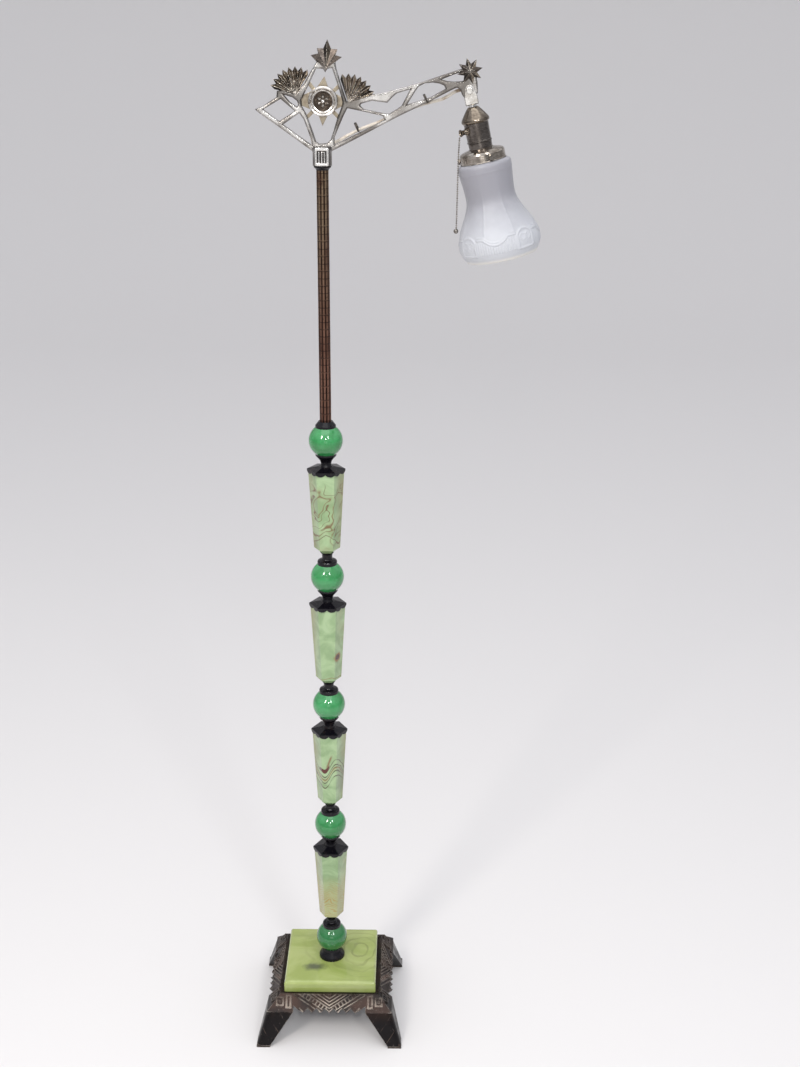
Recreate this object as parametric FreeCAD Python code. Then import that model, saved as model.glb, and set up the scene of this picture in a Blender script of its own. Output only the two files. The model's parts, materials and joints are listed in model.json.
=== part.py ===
import FreeCAD, Part
import os
from math import cos, pi, radians, sin, sqrt, tan

V = FreeCAD.Vector

# Bridge-arm floor lamp: a cast base on four legs carries a glass slab, and on it a pole of glass balls
# and tapered glass columns threaded on one steel pipe. A pierced cast arm swivels on the pole's top and
# holds a pull-chain socket with a frosted bell shade, which tilts on a knuckle.
# Millimetres. Origin on the floor under the pole's axis, +Z up, the arm reaches along +X.

# --- driving dimensions -------------------------------------------------------------------------
BALL_D = 50.8                 # glass balls, 2 inch
BALL_PITCH = 216.0            # from one ball's centre to the next
BALL_COUNT = 5
LOW_BALL_Z = 134.0            # centre of the lowest ball
PIPE_OD = 10.0                # lamp pipe that ties the pole together
PIPE_ID = 7.0
THREAD_BORE = 10.5            # clearance hole over the pipe
SLAB_SIZE = 150.0
SLAB_T = 19.0
SLAB_TOP = 95.8
FELT_T = 0.8
DECK_T = 5.0
TUBE_OD = 17.4                # reeded tube between the top ball and the arm
TUBE_TOP = 1387.0
ARM_T = 8.0                   # thickness of the pierced arm casting
PIVOT_X = 201.0               # shade knuckle's screw, its axis along Y
PIVOT_Z = 1494.0
HEAD_TILT = 13.0              # degrees, foot of the shade swung outwards at rest
WIRE_D = 4.4                  # old two-core lamp lead

BALL_R = BALL_D / 2
BORE_R = THREAD_BORE / 2
PIPE_R = PIPE_OD / 2
DECK_TOP = SLAB_TOP - SLAB_T - FELT_T
SEAT_R = BALL_R + 0.05        # spherical seats that the balls rest in
BALL_Z = [LOW_BALL_Z + BALL_PITCH * k for k in range(BALL_COUNT)]
TOP_BALL_Z = BALL_Z[-1]

nodes = {}


def add(name, shape):
    """Keep one finished sub-part under its node name."""
    nodes[name] = shape


# --- small builders ----------------------------------------------------------------------------
def face_of(points):
    return Part.Face(Part.makePolygon(points + [points[0]]))


def turned(profile):
    """A solid turned about Z from a closed outline of (radius, z) points."""
    face = face_of([V(r, 0, z) for r, z in profile])
    return face.revolve(V(0, 0, 0), V(0, 0, 1), 360)


def cyl(radius, z0, z1, x=0.0, y=0.0):
    return Part.makeCylinder(radius, z1 - z0, V(x, y, z0))


def ycyl(radius, x, z, y0, y1):
    return Part.makeCylinder(radius, y1 - y0, V(x, y0, z), V(0, 1, 0))


def box(x0, x1, y0, y1, z0, z1):
    return Part.makeBox(x1 - x0, y1 - y0, z1 - z0, V(x0, y0, z0))


def ball(radius, centre):
    return Part.makeSphere(radius, V(*centre))


def plate(points, y0, y1):
    """A flat plate in the X-Z plane, from an outline of (x, z) points."""
    return face_of([V(x, y0, z) for x, z in points]).extrude(V(0, y1 - y0, 0))


def joined(shapes):
    result = shapes[0]
    if len(shapes) > 1:
        result = shapes[0].multiFuse(shapes[1:])
    result = result.removeSplitter()
    return result.Solids[0] if len(result.Solids) == 1 else result


def softened(shape, edges, sizes):
    """Round the edges with the first radius that gives a sound solid."""
    for size in sizes:
        try:
            result = shape.makeFillet(size, edges)
        except Exception:
            continue
        if result.isValid() and result.Volume > 0:
            return result
    return shape


def hexagon(radius, z):
    """Six corners with one pair on the X axis, so a flat side faces front."""
    return [V(radius * cos(pi * k / 3), radius * sin(pi * k / 3), z) for k in range(6)]


def loft(sections):
    wires = [Part.makePolygon(s + [s[0]]) for s in sections]
    return Part.makeLoft(wires, True, True)


def facets(peak, rim, back, whole=True):
    """A faceted relief on a flat rear face at y = back; every point is given as (x, z, y).

    With whole=True the rim goes right round the raised peak. Otherwise the peak is the rim's own
    missing corner, so the relief is one leaf or rib with its ridge running from the peak.
    """
    def at(point, y=None):
        return V(point[0], point[2] if y is None else y, point[1])

    pairs = list(zip(rim, rim[1:]))
    loop = list(rim)
    faces = []
    if whole:
        pairs.append((rim[-1], rim[0]))
    else:
        loop.append(peak)
        faces.append(face_of([at(peak), at(rim[0]), at(rim[0], back), at(peak, back)]))
        faces.append(face_of([at(peak), at(rim[-1]), at(rim[-1], back), at(peak, back)]))
    for a, b in pairs:
        faces.append(face_of([at(peak), at(a), at(b)]))
        faces.append(face_of([at(a), at(a, back), at(b, back), at(b)]))
    faces.append(face_of([at(p, back) for p in loop]))
    shell = Part.makeShell(faces)
    shell.sewShape()
    solid = Part.makeSolid(shell)
    if solid.Volume < 0:
        solid.reverse()
    return solid


def cable(points, diameter, label):
    """A round lead along straight runs joined by tangent arcs, as large as the runs allow."""
    pts = [V(*p) for p in points]
    edges = []
    start = pts[0]
    radii = []
    for before, corner, after in zip(pts, pts[1:], pts[2:]):
        run_in = (corner - before).Length
        run_out = (after - corner).Length
        u = (before - corner).normalize()
        w = (after - corner).normalize()
        turn = pi - u.getAngle(w)
        reach = 0.45 * min(run_in, run_out)
        radius = reach / tan(turn / 2)
        radii.append(round(radius, 1))
        bisector = (u + w).normalize()
        centre = corner + bisector * (radius / cos(turn / 2))
        middle = centre - bisector * radius
        arc_start = corner + u * reach
        arc_end = corner + w * reach
        edges.append(Part.LineSegment(start, arc_start).toShape())
        edges.append(Part.Arc(arc_start, middle, arc_end).toShape())
        start = arc_end
    edges.append(Part.LineSegment(start, pts[-1]).toShape())
    path = Part.Wire(edges)
    circle = Part.Circle(pts[0], (pts[1] - pts[0]).normalize(), diameter / 2).toShape()
    tube = path.makePipeShell([Part.Wire(circle)], True, False, 2)
    expected = pi * diameter ** 2 / 4 * path.Length
    print(label, "length %.1f" % path.Length, "radii", radii, "volume ratio %.4f" % (tube.Volume / expected))
    return tube


# --- cast base ---------------------------------------------------------------------------------
LIP_IN = 78.5                 # half widths of the raised lip round the slab
LIP_OUT = 81.0
LIP_TOP = 78.0
APRON_SPREAD = 21.0           # the aprons slope out and down by this much
APRON_T = 4.0
APRON_HALF = 60.0             # half length between the corner blocks
TOOTH_PITCH = 14.2            # teeth along the aprons' lower edge
LEG_TOP_IN = 59.0             # leg and corner block, measured from the pole's axis
LEG_TOP_OUT = LIP_OUT + APRON_SPREAD
LEG_TOP_Z = LIP_TOP - APRON_SPREAD + 4.0
FOOT_IN = 96.0
FOOT_OUT = 118.0
PAD_T = 3.0
OUTLET_Z = 58.0               # cord bushing in the rear apron


def square(low, high, z):
    return [V(low, low, z), V(high, low, z), V(high, high, z), V(low, high, z)]


def rib(start, end, width, height):
    """A raised bar with sloping flanks, between two points of a flat-laid panel."""
    run = V(end[0] - start[0], end[1] - start[1], 0)
    across = V(-run.y, run.x, 0).normalize() * (width / 2)
    foot = V(start[0], start[1], -0.6)
    section = [foot - across, foot + across, foot + across + V(0, 0, 0.8),
               foot + across * 0.4 + V(0, 0, height + 0.6),
               foot - across * 0.4 + V(0, 0, height + 0.6), foot - across + V(0, 0, 0.8)]
    return face_of(section).extrude(run)


def apron():
    """One sloped panel with nested chevrons, laid flat: x across, y down the slope, z outwards."""
    slope = APRON_SPREAD * sqrt(2)
    fall = 0.62               # rise of every chevron arm for each millimetre across
    outline = [(-APRON_HALF, 0), (-APRON_HALF, slope - 11.0), (-52.0, slope - 5.0)]
    for k in range(-3, 4):
        tip = TOOTH_PITCH * k
        outline += [(tip - 1.0, slope), (tip + 1.0, slope), (tip + TOOTH_PITCH / 2, slope - 6.5)]
    outline[-1] = (52.0, slope - 5.0)
    outline += [(APRON_HALF, slope - 11.0), (APRON_HALF, 0)]
    flat = face_of([V(x, y, 0) for x, y in outline])
    parts = []
    for side in (-1, 1):
        for dip in (8.0, 13.4, 18.8):
            parts.append(rib((0, dip), (side * (dip - 1.4) / fall, 1.4), 3.0, 2.2))
        for dip, near, far in ((23.4, 0.0, 36.0), (32.6, 5.0, 51.0), (38.6, 15.0, 58.0)):
            parts.append(rib((side * near, dip - fall * near), (side * far, dip - fall * far), 2.0, 2.0))
        for k in range(8):
            x = 4.0 + 5.2 * k
            y = 24.4 - fall * x
            parts.append(rib((side * x, y), (side * (x + 3.6), y + 5.8), 2.6, 1.9))
        parts.append(rib((side * APRON_HALF, 1.3), (side * 1.0, 1.3), 2.4, 1.6))
        for k in range(4):
            tip = TOOTH_PITCH * k
            parts.append(rib((side * tip, slope - 1.0), (side * (tip + 6.6), slope - 7.0), 2.2, 1.8))
    limits = flat.extrude(V(0, 0, 4.0)).fuse(flat.extrude(V(0, 0, -APRON_T)))
    relief = joined(parts).common(limits)
    return flat.extrude(V(0, 0, -APRON_T)).fuse(relief).removeSplitter()


def corner_ornament():
    """Square cartouche and reeded pillar at one end of a side, laid flat like the apron."""
    parts = []
    for side in (-1, 1):
        outer = box(74.5, 87.0, 5.5, 20.0, -0.8, 1.6)
        well = box(76.7, 84.8, 7.9, 17.6, -2.0, 3.0)
        boss = box(79.0, 82.5, 10.5, 15.0, -0.8, 1.4)
        pillar = box(62.0, 71.5, 2.5, 23.5, -0.8, 1.6)
        flute = box(65.0, 68.5, 4.8, 21.2, 0.4, 3.0)
        group = [outer.cut(well), boss, pillar.cut(flute)]
        if side < 0:
            group = [g.mirror(V(0, 0, 0), V(1, 0, 0)) for g in group]
        parts += group
    return parts


def to_front(shape):
    """Stand a flat-laid panel on the front side, on its 45 degree slope."""
    c = cos(radians(45))
    stand = FreeCAD.Matrix(-1, 0, 0, 0,
                           0, -c, -c, -LIP_OUT,
                           0, -c, c, LIP_TOP,
                           0, 0, 0, 1)
    moved = shape.copy()
    moved.Placement = FreeCAD.Placement(stand)
    return moved


def quarter_turns(shape):
    copies = []
    for k in range(4):
        turned_copy = shape.copy()
        turned_copy.rotate(V(0, 0, 0), V(0, 0, 1), 90 * k)
        copies.append(turned_copy)
    return copies


def base_casting():
    deck_low = DECK_TOP - DECK_T
    deck = box(-LIP_OUT, LIP_OUT, -LIP_OUT, LIP_OUT, deck_low, DECK_TOP)
    lip = box(-LIP_OUT, LIP_OUT, -LIP_OUT, LIP_OUT, deck_low, LIP_TOP)
    lip = lip.cut(box(-LIP_IN, LIP_IN, -LIP_IN, LIP_IN, deck_low - 1, LIP_TOP + 1))
    block = loft([square(LEG_TOP_IN, LIP_OUT, LIP_TOP), square(LEG_TOP_IN, LEG_TOP_OUT, LEG_TOP_Z - 4.0)])
    seat = box(0, LIP_IN, 0, LIP_IN, DECK_TOP, LIP_TOP + 1)
    block = block.cut(seat)
    leg = loft([square(LEG_TOP_IN, LEG_TOP_OUT, LEG_TOP_Z - 4.0), square(FOOT_IN, FOOT_OUT, PAD_T)])
    upright = [e for e in leg.Edges if abs(e.tangentAt(e.FirstParameter).z) > 0.5]
    upright.sort(key=lambda e: e.CenterOfMass.x + e.CenterOfMass.y)
    leg = softened(leg, upright[-1:], (10.0, 6.0))
    corner = block.fuse(leg)
    pieces = [deck, lip] + quarter_turns(corner)
    for panel in [apron()] + corner_ornament():
        pieces += quarter_turns(to_front(panel))
    body = joined(pieces)
    body = body.cut(cyl(BORE_R, deck_low - 1, DECK_TOP + 1))
    y_rear = LIP_OUT + (LIP_TOP - OUTLET_Z)
    outlet = Part.makeCylinder(6.0, 40.0, V(0, y_rear - 25, OUTLET_Z), V(0, 1, 0))
    pad = Part.makeCylinder(9.0, 14.0, V(0, y_rear - 10.0, OUTLET_Z), V(0, 1, 0))
    return body.fuse(pad).cut(outlet).removeSplitter()


def base_parts():
    add("base_casting", base_casting())
    pads = []
    for sx in (-1, 1):
        for sy in (-1, 1):
            cx = sx * (FOOT_IN + FOOT_OUT) / 2
            cy = sy * (FOOT_IN + FOOT_OUT) / 2
            half = (FOOT_OUT - FOOT_IN) / 2
            pads.append(box(cx - half, cx + half, cy - half, cy + half, 0, PAD_T))
    add("foot_pads", Part.makeCompound(pads))
    felt = box(-70, 70, -70, 70, DECK_TOP, DECK_TOP + FELT_T).cut(cyl(BORE_R, 0, SLAB_TOP))
    add("slab_felt", felt)
    half = SLAB_SIZE / 2
    slab = box(-half, half, -half, half, SLAB_TOP - SLAB_T, SLAB_TOP)
    upright = [e for e in slab.Edges if abs(e.tangentAt(e.FirstParameter).z) > 0.9]
    slab = softened(slab, upright, (2.5,))
    rim = [e for e in slab.Edges if e.BoundBox.ZMin > SLAB_TOP - 0.01]
    slab = softened(slab, rim, (6.0, 4.0))
    add("glass_slab", slab.cut(cyl(BORE_R, 0, SLAB_TOP + 1)))
    y_rear = LIP_OUT + (LIP_TOP - OUTLET_Z)
    bush = Part.makeCylinder(6.0, 14.0, V(0, y_rear - 10.0, OUTLET_Z), V(0, 1, 0))
    flange = Part.makeCylinder(8.0, 2.0, V(0, y_rear + 4.0, OUTLET_Z), V(0, 1, 0))
    bore = Part.makeCylinder(3.5, 20.0, V(0, y_rear - 12.0, OUTLET_Z), V(0, 1, 0))
    add("cord_bushing", bush.fuse(flange).cut(bore).removeSplitter())
    low = DECK_TOP - DECK_T
    washer = cyl(14.0, low - 2.0, low).cut(cyl(BORE_R, 0, low + 1))
    nut = face_of(hexagon(9.2, low - 8.0)).extrude(V(0, 0, 6.0)).cut(cyl(PIPE_R + 0.05, 0, low))
    add("bottom_fixings", Part.makeCompound([washer, nut]))


# --- pole --------------------------------------------------------------------------------------
COLUMN_FOOT = 40.5            # column's foot, above the centre of the ball under it
COLUMN_HEEL = 47.5            # top of the chamfer at its foot
COLUMN_HEAD = 170.5
CAP_EDGE = 172.5              # top edge of the cap's skirt
CAP_CROWN = 176.5
CAP_R = 28.7
SKIRT_T = 1.4
TUBE_FOOT = 26.0              # reeded tube's foot, above the top ball's centre
REEDS = 10


def lower_spool(centre):
    """Turned spool that seats on a ball and carries a column's foot."""
    outline = [(BORE_R, 18.0), (15.0, 18.0), (15.0, 25.0), (14.2, 26.6), (12.0, 27.6), (8.6, 28.4),
               (7.8, 29.6), (7.8, 34.5), (8.4, 37.0), (10.6, COLUMN_FOOT), (BORE_R, COLUMN_FOOT)]
    return turned([(r, centre + z) for r, z in outline]).cut(ball(SEAT_R, (0, 0, centre)))


def upper_spool(centre):
    """Turned cup under a ball, standing on the cap of the column below."""
    low = CAP_CROWN - BALL_PITCH
    outline = [(BORE_R, -18.0), (15.6, -18.0), (15.6, -22.6), (14.4, -24.4), (11.6, -27.2),
               (9.2, -30.2), (8.0, -33.4), (7.8, -36.4), (8.8, low), (BORE_R, low)]
    return turned([(r, centre + z) for r, z in outline]).cut(ball(SEAT_R, (0, 0, centre)))


def column(centre):
    """Six-sided tapered glass column above the ball at this height, chamfered at its foot."""
    body = loft([hexagon(19.8, centre + COLUMN_HEEL), hexagon(27.0, centre + COLUMN_HEAD)])
    foot = loft([hexagon(10.6, centre + COLUMN_FOOT), hexagon(19.8, centre + COLUMN_HEEL)])
    return body.fuse(foot).cut(cyl(BORE_R, centre, centre + BALL_PITCH)).removeSplitter()


def skirt_panel(centre, k):
    """One side of the cap's skirt, with two scallops."""
    top = centre + CAP_EDGE
    valley = top - 2.6
    low = top - 6.2
    a = hexagon(CAP_R, 0)[k]
    b = hexagon(CAP_R, 0)[(k + 1) % 6]
    along = b - a

    def at(t, z):
        return V(a.x + along.x * t, a.y + along.y * t, z)

    edges = [Part.LineSegment(at(0, valley), at(0, top)).toShape(),
             Part.LineSegment(at(0, top), at(1, top)).toShape(),
             Part.LineSegment(at(1, top), at(1, valley)).toShape(),
             Part.Arc(at(1, valley), at(0.75, low), at(0.5, valley)).toShape(),
             Part.Arc(at(0.5, valley), at(0.25, low), at(0, valley)).toShape()]
    inward = V(-along.y, along.x, 0).normalize() * SKIRT_T
    return Part.Face(Part.Wire(edges)).extrude(inward)


def cap(centre):
    """Six-sided metal cap with a scalloped skirt over a column's head."""
    crown = loft([hexagon(CAP_R, centre + CAP_EDGE), hexagon(12.0, centre + CAP_CROWN)])
    plinth = loft([hexagon(CAP_R, centre + COLUMN_HEAD), hexagon(CAP_R, centre + CAP_EDGE)])
    bodies = [crown, plinth] + [skirt_panel(centre, k) for k in range(6)]
    return joined(bodies).cut(cyl(BORE_R, centre, centre + BALL_PITCH))


def reeded_tube():
    """Tube with reeds round it and a small cross band at every 21 mm."""
    core_r = TUBE_OD / 2 - 1.3
    reed_r = pi * core_r / REEDS
    foot = TOP_BALL_Z + TUBE_FOOT
    parts = [cyl(core_r, foot, TUBE_TOP)]
    for k in range(REEDS):
        angle = 2 * pi * k / REEDS + pi / 2
        x = (TUBE_OD / 2 - reed_r) * cos(angle)
        y = (TUBE_OD / 2 - reed_r) * sin(angle)
        parts.append(cyl(reed_r, foot, TUBE_TOP, x, y))
    for k in range(17):
        z = foot + 14.0 + 21.0 * k
        parts.append(cyl(TUBE_OD / 2 - 0.35, z, z + 1.6))
    return joined(parts).cut(cyl(BORE_R, foot - 1, TUBE_TOP + 1))


def pole_parts():
    foot = turned([(BORE_R, SLAB_TOP), (21.2, SLAB_TOP), (21.2, SLAB_TOP + 3.5), (20.4, SLAB_TOP + 5.5),
                   (18.4, SLAB_TOP + 9.0), (16.2, SLAB_TOP + 13.5), (14.8, SLAB_TOP + 18.5),
                   (BORE_R, SLAB_TOP + 18.5)])
    add("foot_disc", foot.cut(ball(SEAT_R, (0, 0, LOW_BALL_Z))))
    for k, z in enumerate(BALL_Z):
        glass = ball(BALL_R, (0, 0, z)).cut(cyl(BORE_R, z - 30, z + 30))
        add("ball_%d" % (k + 1), glass)
    for k, z in enumerate(BALL_Z[:-1]):
        number = k + 1
        add("lower_spool_%d" % number, lower_spool(z))
        add("column_%d" % number, column(z))
        add("cap_%d" % number, cap(z))
        add("upper_spool_%d" % number, upper_spool(z + BALL_PITCH))
    z = TOP_BALL_Z
    flange = turned([(BORE_R, z + 18.0), (15.3, z + 18.0), (15.3, z + 23.4), (14.0, z + 25.0),
                     (10.6, z + 29.6), (BORE_R, z + 29.6)])
    flange = flange.cut(ball(SEAT_R, (0, 0, z)))
    add("tube_flange", flange.cut(cyl(TUBE_OD / 2 + 0.05, z + TUBE_FOOT, z + 31)))
    add("reeded_tube", reeded_tube())
    low = DECK_TOP - DECK_T - 12.0
    add("centre_pipe", cyl(PIPE_R, low, BOSS_FLOOR + 13.0).cut(cyl(PIPE_ID / 2, low - 1, 1500)))
    collar = turned([(BORE_R, TUBE_TOP), (8.9, TUBE_TOP), (9.4, TUBE_TOP + 1.5), (12.2, TUBE_TOP + 4.0),
                     (12.2, COLLAR_TOP), (BORE_R, COLLAR_TOP)])
    add("swivel_collar", collar)


# --- pierced arm -------------------------------------------------------------------------------
COLLAR_TOP = 1393.0
BOSS_FLOOR = 1393.3           # underside of the arm's boss, which turns on the collar
BOSS_TOP = 1419.0
BOSS_R = 13.4
BEARING_R = 5.06              # boss bore round the pipe
LUG_R = 11.5                  # round end of the arm at the knuckle
SCREW_R = 2.46                # knuckle screw, clamps the ears on the lug
SCREW_BORE = 2.53
MEDAL_X = 1.9
MEDAL_Z = 1478.7
STAR_X = 201.1
STAR_Z = 1518.9

ARM_OUTLINE = [
    (-91.0, 1467.4), (-79.8, 1472.2), (-61.4, 1483.6), (-60.4, 1491.6), (-51.0, 1493.2), (-35.2, 1488.6),
    (-23.9, 1500.8), (-11.3, 1521.7), (-6.0, 1530.0), (19.3, 1529.8), (20.6, 1521.5), (27.4, 1499.0),
    (34.5, 1478.4), (52.0, 1483.0), (70.4, 1487.9), (90.3, 1491.9), (113.8, 1498.1), (133.7, 1503.4),
    (154.0, 1510.1), (187.1, 1521.0), (200.0, 1524.0), (209.0, 1518.0), (211.6, 1505.0), (212.4, 1494.0),
    (189.6, 1494.0), (187.7, 1494.6), (184.6, 1497.3), (180.0, 1495.8), (154.4, 1482.8), (103.2, 1458.4),
    (33.7, 1422.6), (13.0, 1412.4), (10.0, 1400.0), (-10.0, 1400.0), (-13.6, 1412.6), (-60.3, 1445.4),
    (-83.4, 1461.0)]
KITE = [
    (-6.6, 1521.0), (-16.3, 1501.6), (-27.6, 1480.0), (-27.0, 1472.0), (-20.5, 1461.0), (-11.5, 1436.0),
    (-8.0, 1425.4), (-4.0, 1422.6), (7.0, 1423.2), (12.0, 1428.0), (21.2, 1456.0), (28.6, 1475.0),
    (28.4, 1480.0), (23.1, 1497.4), (14.6, 1521.8), (8.6, 1520.6), (5.5, 1516.2), (2.4, 1520.6)]
TAIL_GAP = [(-79.4, 1467.4), (-55.7, 1481.2), (-36.6, 1465.4), (-58.3, 1452.0)]
TAIL_EYE = [(-51.4, 1487.0), (-39.5, 1483.4), (-33.2, 1478.6), (-31.8, 1473.4), (-34.0, 1471.2),
            (-43.4, 1477.6)]
TAIL_WEDGE = [(-53.0, 1447.6), (-30.6, 1462.6), (-24.9, 1455.0), (-15.6, 1430.0), (-13.9, 1420.4)]
LOWER_BAY = [(35.2, 1469.6), (51.3, 1466.6), (83.1, 1460.0), (86.0, 1455.0), (66.7, 1445.0),
             (39.3, 1431.9), (17.6, 1421.2), (17.4, 1431.0), (24.0, 1446.4), (30.3, 1460.5)]
MIDDLE_BAY = [(52.7, 1472.9), (54.0, 1475.6), (68.6, 1479.6), (89.5, 1477.1), (98.5, 1486.3),
              (103.0, 1489.6), (120.6, 1494.8), (109.0, 1473.3), (103.4, 1469.2), (92.0, 1462.6),
              (83.1, 1463.6), (57.6, 1468.4)]
UPPER_BAY = [(116.6, 1474.9), (127.8, 1492.6), (132.0, 1498.4), (140.0, 1502.6), (150.8, 1503.8),
             (160.0, 1502.6), (166.4, 1500.1), (168.6, 1495.8), (148.4, 1484.6)]
END_EYE = [(163.0, 1507.8), (175.1, 1512.6), (190.0, 1518.0), (195.0, 1517.2), (197.2, 1512.4),
           (195.0, 1507.6), (190.0, 1505.6), (180.1, 1505.0), (171.0, 1505.6)]
OPENINGS = [KITE, TAIL_GAP, TAIL_EYE, TAIL_WEDGE, LOWER_BAY, MIDDLE_BAY, UPPER_BAY, END_EYE]


def pierced(half):
    """The arm's flat web with its openings, from y = -half to half."""
    web = plate(ARM_OUTLINE, -half, half)
    return web.cut([plate(gap, -half - 1, half + 1) for gap in OPENINGS])


def arm_web():
    """The pierced web with bevelled front and rear edges."""
    half = ARM_T / 2
    flat = pierced(half)
    rims = [e for e in flat.Edges if abs(abs(e.BoundBox.YMin) - half) < 0.01 and e.BoundBox.YLength < 0.01]
    for size in (1.3, 1.0, 0.8, 0.5):
        try:
            result = flat.makeChamfer(size, rims)
        except Exception:
            continue
        if result.isValid() and 0 < result.Volume < flat.Volume:
            print("arm bevel", size)
            return result
    print("arm left square")
    return flat


def boss():
    """Round boss under the arm, with a framed front panel holding three upright bars."""
    body = cyl(BOSS_R, BOSS_FLOOR, BOSS_TOP)
    front = -BOSS_R - 1.4
    frame = box(-9.8, 9.8, front, -6.0, BOSS_FLOOR + 0.4, BOSS_TOP - 0.6)
    frame = softened(frame, [e for e in frame.Edges if e.BoundBox.YLength > 3], (2.6, 1.5))
    panel = box(-6.4, 6.4, front - 1, front + 2.2, BOSS_FLOOR + 4.0, BOSS_TOP - 5.0)
    bars = [box(x - 0.9, x + 0.9, front + 0.6, front + 3, BOSS_FLOOR + 4.0, BOSS_TOP - 6.4)
            for x in (-3.9, 0.0, 3.9)]
    return joined([body, frame.cut(panel)] + bars)


def arm_casting():
    lug = ycyl(LUG_R, PIVOT_X, PIVOT_Z, -ARM_T / 2, ARM_T / 2)
    body = joined([arm_web(), boss(), lug])
    body = body.cut(ycyl(SCREW_BORE, PIVOT_X, PIVOT_Z, -ARM_T, ARM_T))
    body = body.cut(cyl(BEARING_R, BOSS_FLOOR - 1, BOSS_FLOOR + 14))
    outlet = Part.makeCylinder(3.4, 18.0, V(0, 0, BOSS_FLOOR + 17.7), V(0, 1, 0))
    chamber = cyl(4.6, BOSS_FLOOR + 13, BOSS_FLOOR + 21.5)
    return body.cut([outlet, chamber])


def fan(apex, first, last, count, reach, web):
    """Spread of ridged ribs from one apex, between two angles in degrees."""
    ax, az = apex
    step = (last - first) / count
    ribs = []
    for k in range(count):
        def rim(angle, radius, y):
            a = radians(angle)
            return (ax + radius * cos(a), az + radius * sin(a), y)

        start = first + step * k
        edge = [rim(start, reach - 6.0, -0.6), rim(start + step / 2, reach, -4.8),
                rim(start + step, reach - 6.0, -0.6)]
        ribs.append(facets((ax, az, -4.8), edge, 2.0, whole=False))
    return joined(ribs).cut(web)


def finial(web):
    """Five-leaf palmette at the top of the kite frame."""
    base = (6.3, 1520.5, -6.4)
    rim = [(-6.5, 1530.0), (-13.8, 1538.2), (-3.8, 1540.4), (-5.4, 1547.2), (3.2, 1547.0), (8.7, 1558.4),
           (13.6, 1546.2), (22.4, 1545.8), (19.4, 1538.4), (28.2, 1535.8), (19.6, 1529.4)]
    leaves = []
    for k in range(0, 10, 2):
        edge = [(rim[k][0], rim[k][1], -1.6), (rim[k + 1][0], rim[k + 1][1], -3.4),
                (rim[k + 2][0], rim[k + 2][1], -1.6)]
        leaves.append(facets(base, edge, 2.0, whole=False))
    return joined(leaves).cut(web)


def star(web):
    """Eight-pointed faceted star over the arm's end."""
    rim = []
    for k in range(16):
        a = radians(15 + 22.5 * k)
        radius = 17.6 if k % 2 == 0 else 9.6
        rim.append((STAR_X + radius * cos(a), STAR_Z + radius * sin(a), -4.6 if k % 2 == 0 else -4.2))
    return facets((STAR_X, STAR_Z, -9.6), rim, -0.5).cut(web)


def around_medal(profile):
    """A solid turned about the medallion's own axis, from (radius, y) points."""
    face = face_of([V(MEDAL_X + r, y, MEDAL_Z) for r, y in profile])
    return face.revolve(V(MEDAL_X, 0, MEDAL_Z), V(0, 1, 0), 360)


def medallion_parts(web):
    """Backing plate with four points and four tabs, a moulded ring and a rosette."""
    points = [(4.2, 1511.0), (9.5, 1496.0), (20.0, 1488.0), (32.0, 1482.0), (32.0, 1474.0), (20.0, 1468.0),
              (8.4, 1460.0), (0.9, 1446.0), (-4.4, 1460.0), (-16.0, 1468.0), (-31.0, 1474.0),
              (-31.0, 1484.0), (-17.0, 1490.0), (-6.0, 1497.0)]
    tabs = []
    for angle in (129, 42, 224, 315):
        tab = box(16.0, 33.0, -0.8, 1.6, -2.6, 2.6)
        tab.rotate(V(0, 0, 0), V(0, 1, 0), -angle)
        tab.translate(V(MEDAL_X, 0, MEDAL_Z))
        tabs.append(tab)
    backing = joined([plate(points, -0.8, 1.6)] + tabs).cut(web)
    inside = plate(KITE, -2, 2)
    add("medallion_plate", backing.common(inside))
    ring = around_medal([(13.4, -0.8), (20.4, -0.8), (20.4, -4.6), (19.7, -6.6), (18.3, -7.6),
                         (16.8, -7.0), (15.6, -5.4), (14.6, -4.4), (13.4, -4.0)])
    disc = around_medal([(0, -0.8), (13.4, -0.8), (13.4, -2.4), (11.6, -2.4), (10.8, -1.8), (0, -1.8)])
    parts = [ring, disc, ball(3.0, (MEDAL_X, -2.6, MEDAL_Z))]
    for k in range(6):
        a = radians(90 + 60 * k)
        petal_tip = (MEDAL_X + 10.2 * cos(a), MEDAL_Z + 10.2 * sin(a), -2.6)
        left = (MEDAL_X + 6.6 * cos(a + 0.4), MEDAL_Z + 6.6 * sin(a + 0.4), -2.6)
        right = (MEDAL_X + 6.6 * cos(a - 0.4), MEDAL_Z + 6.6 * sin(a - 0.4), -2.6)
        inner = (MEDAL_X + 2.0 * cos(a), MEDAL_Z + 2.0 * sin(a), -2.6)
        peak = (MEDAL_X + 6.4 * cos(a), MEDAL_Z + 6.4 * sin(a), -4.8)
        parts.append(facets(peak, [right, petal_tip, left, inner], -1.8))
    add("medallion", joined(parts).cut(plate(ARM_OUTLINE, -0.8, 2)))


def arm_parts():
    web = arm_casting()
    add("arm_casting", web)
    left = fan((-34.8, 1487.6), 56.0, 168.0, 8, 36.0, web)
    right = fan((36.4, 1476.6), 17.0, 109.0, 7, 38.5, web)
    add("arm_fans", Part.makeCompound([left, right]))
    add("finial", finial(web))
    add("end_star", star(web))
    medallion_parts(web)


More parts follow.
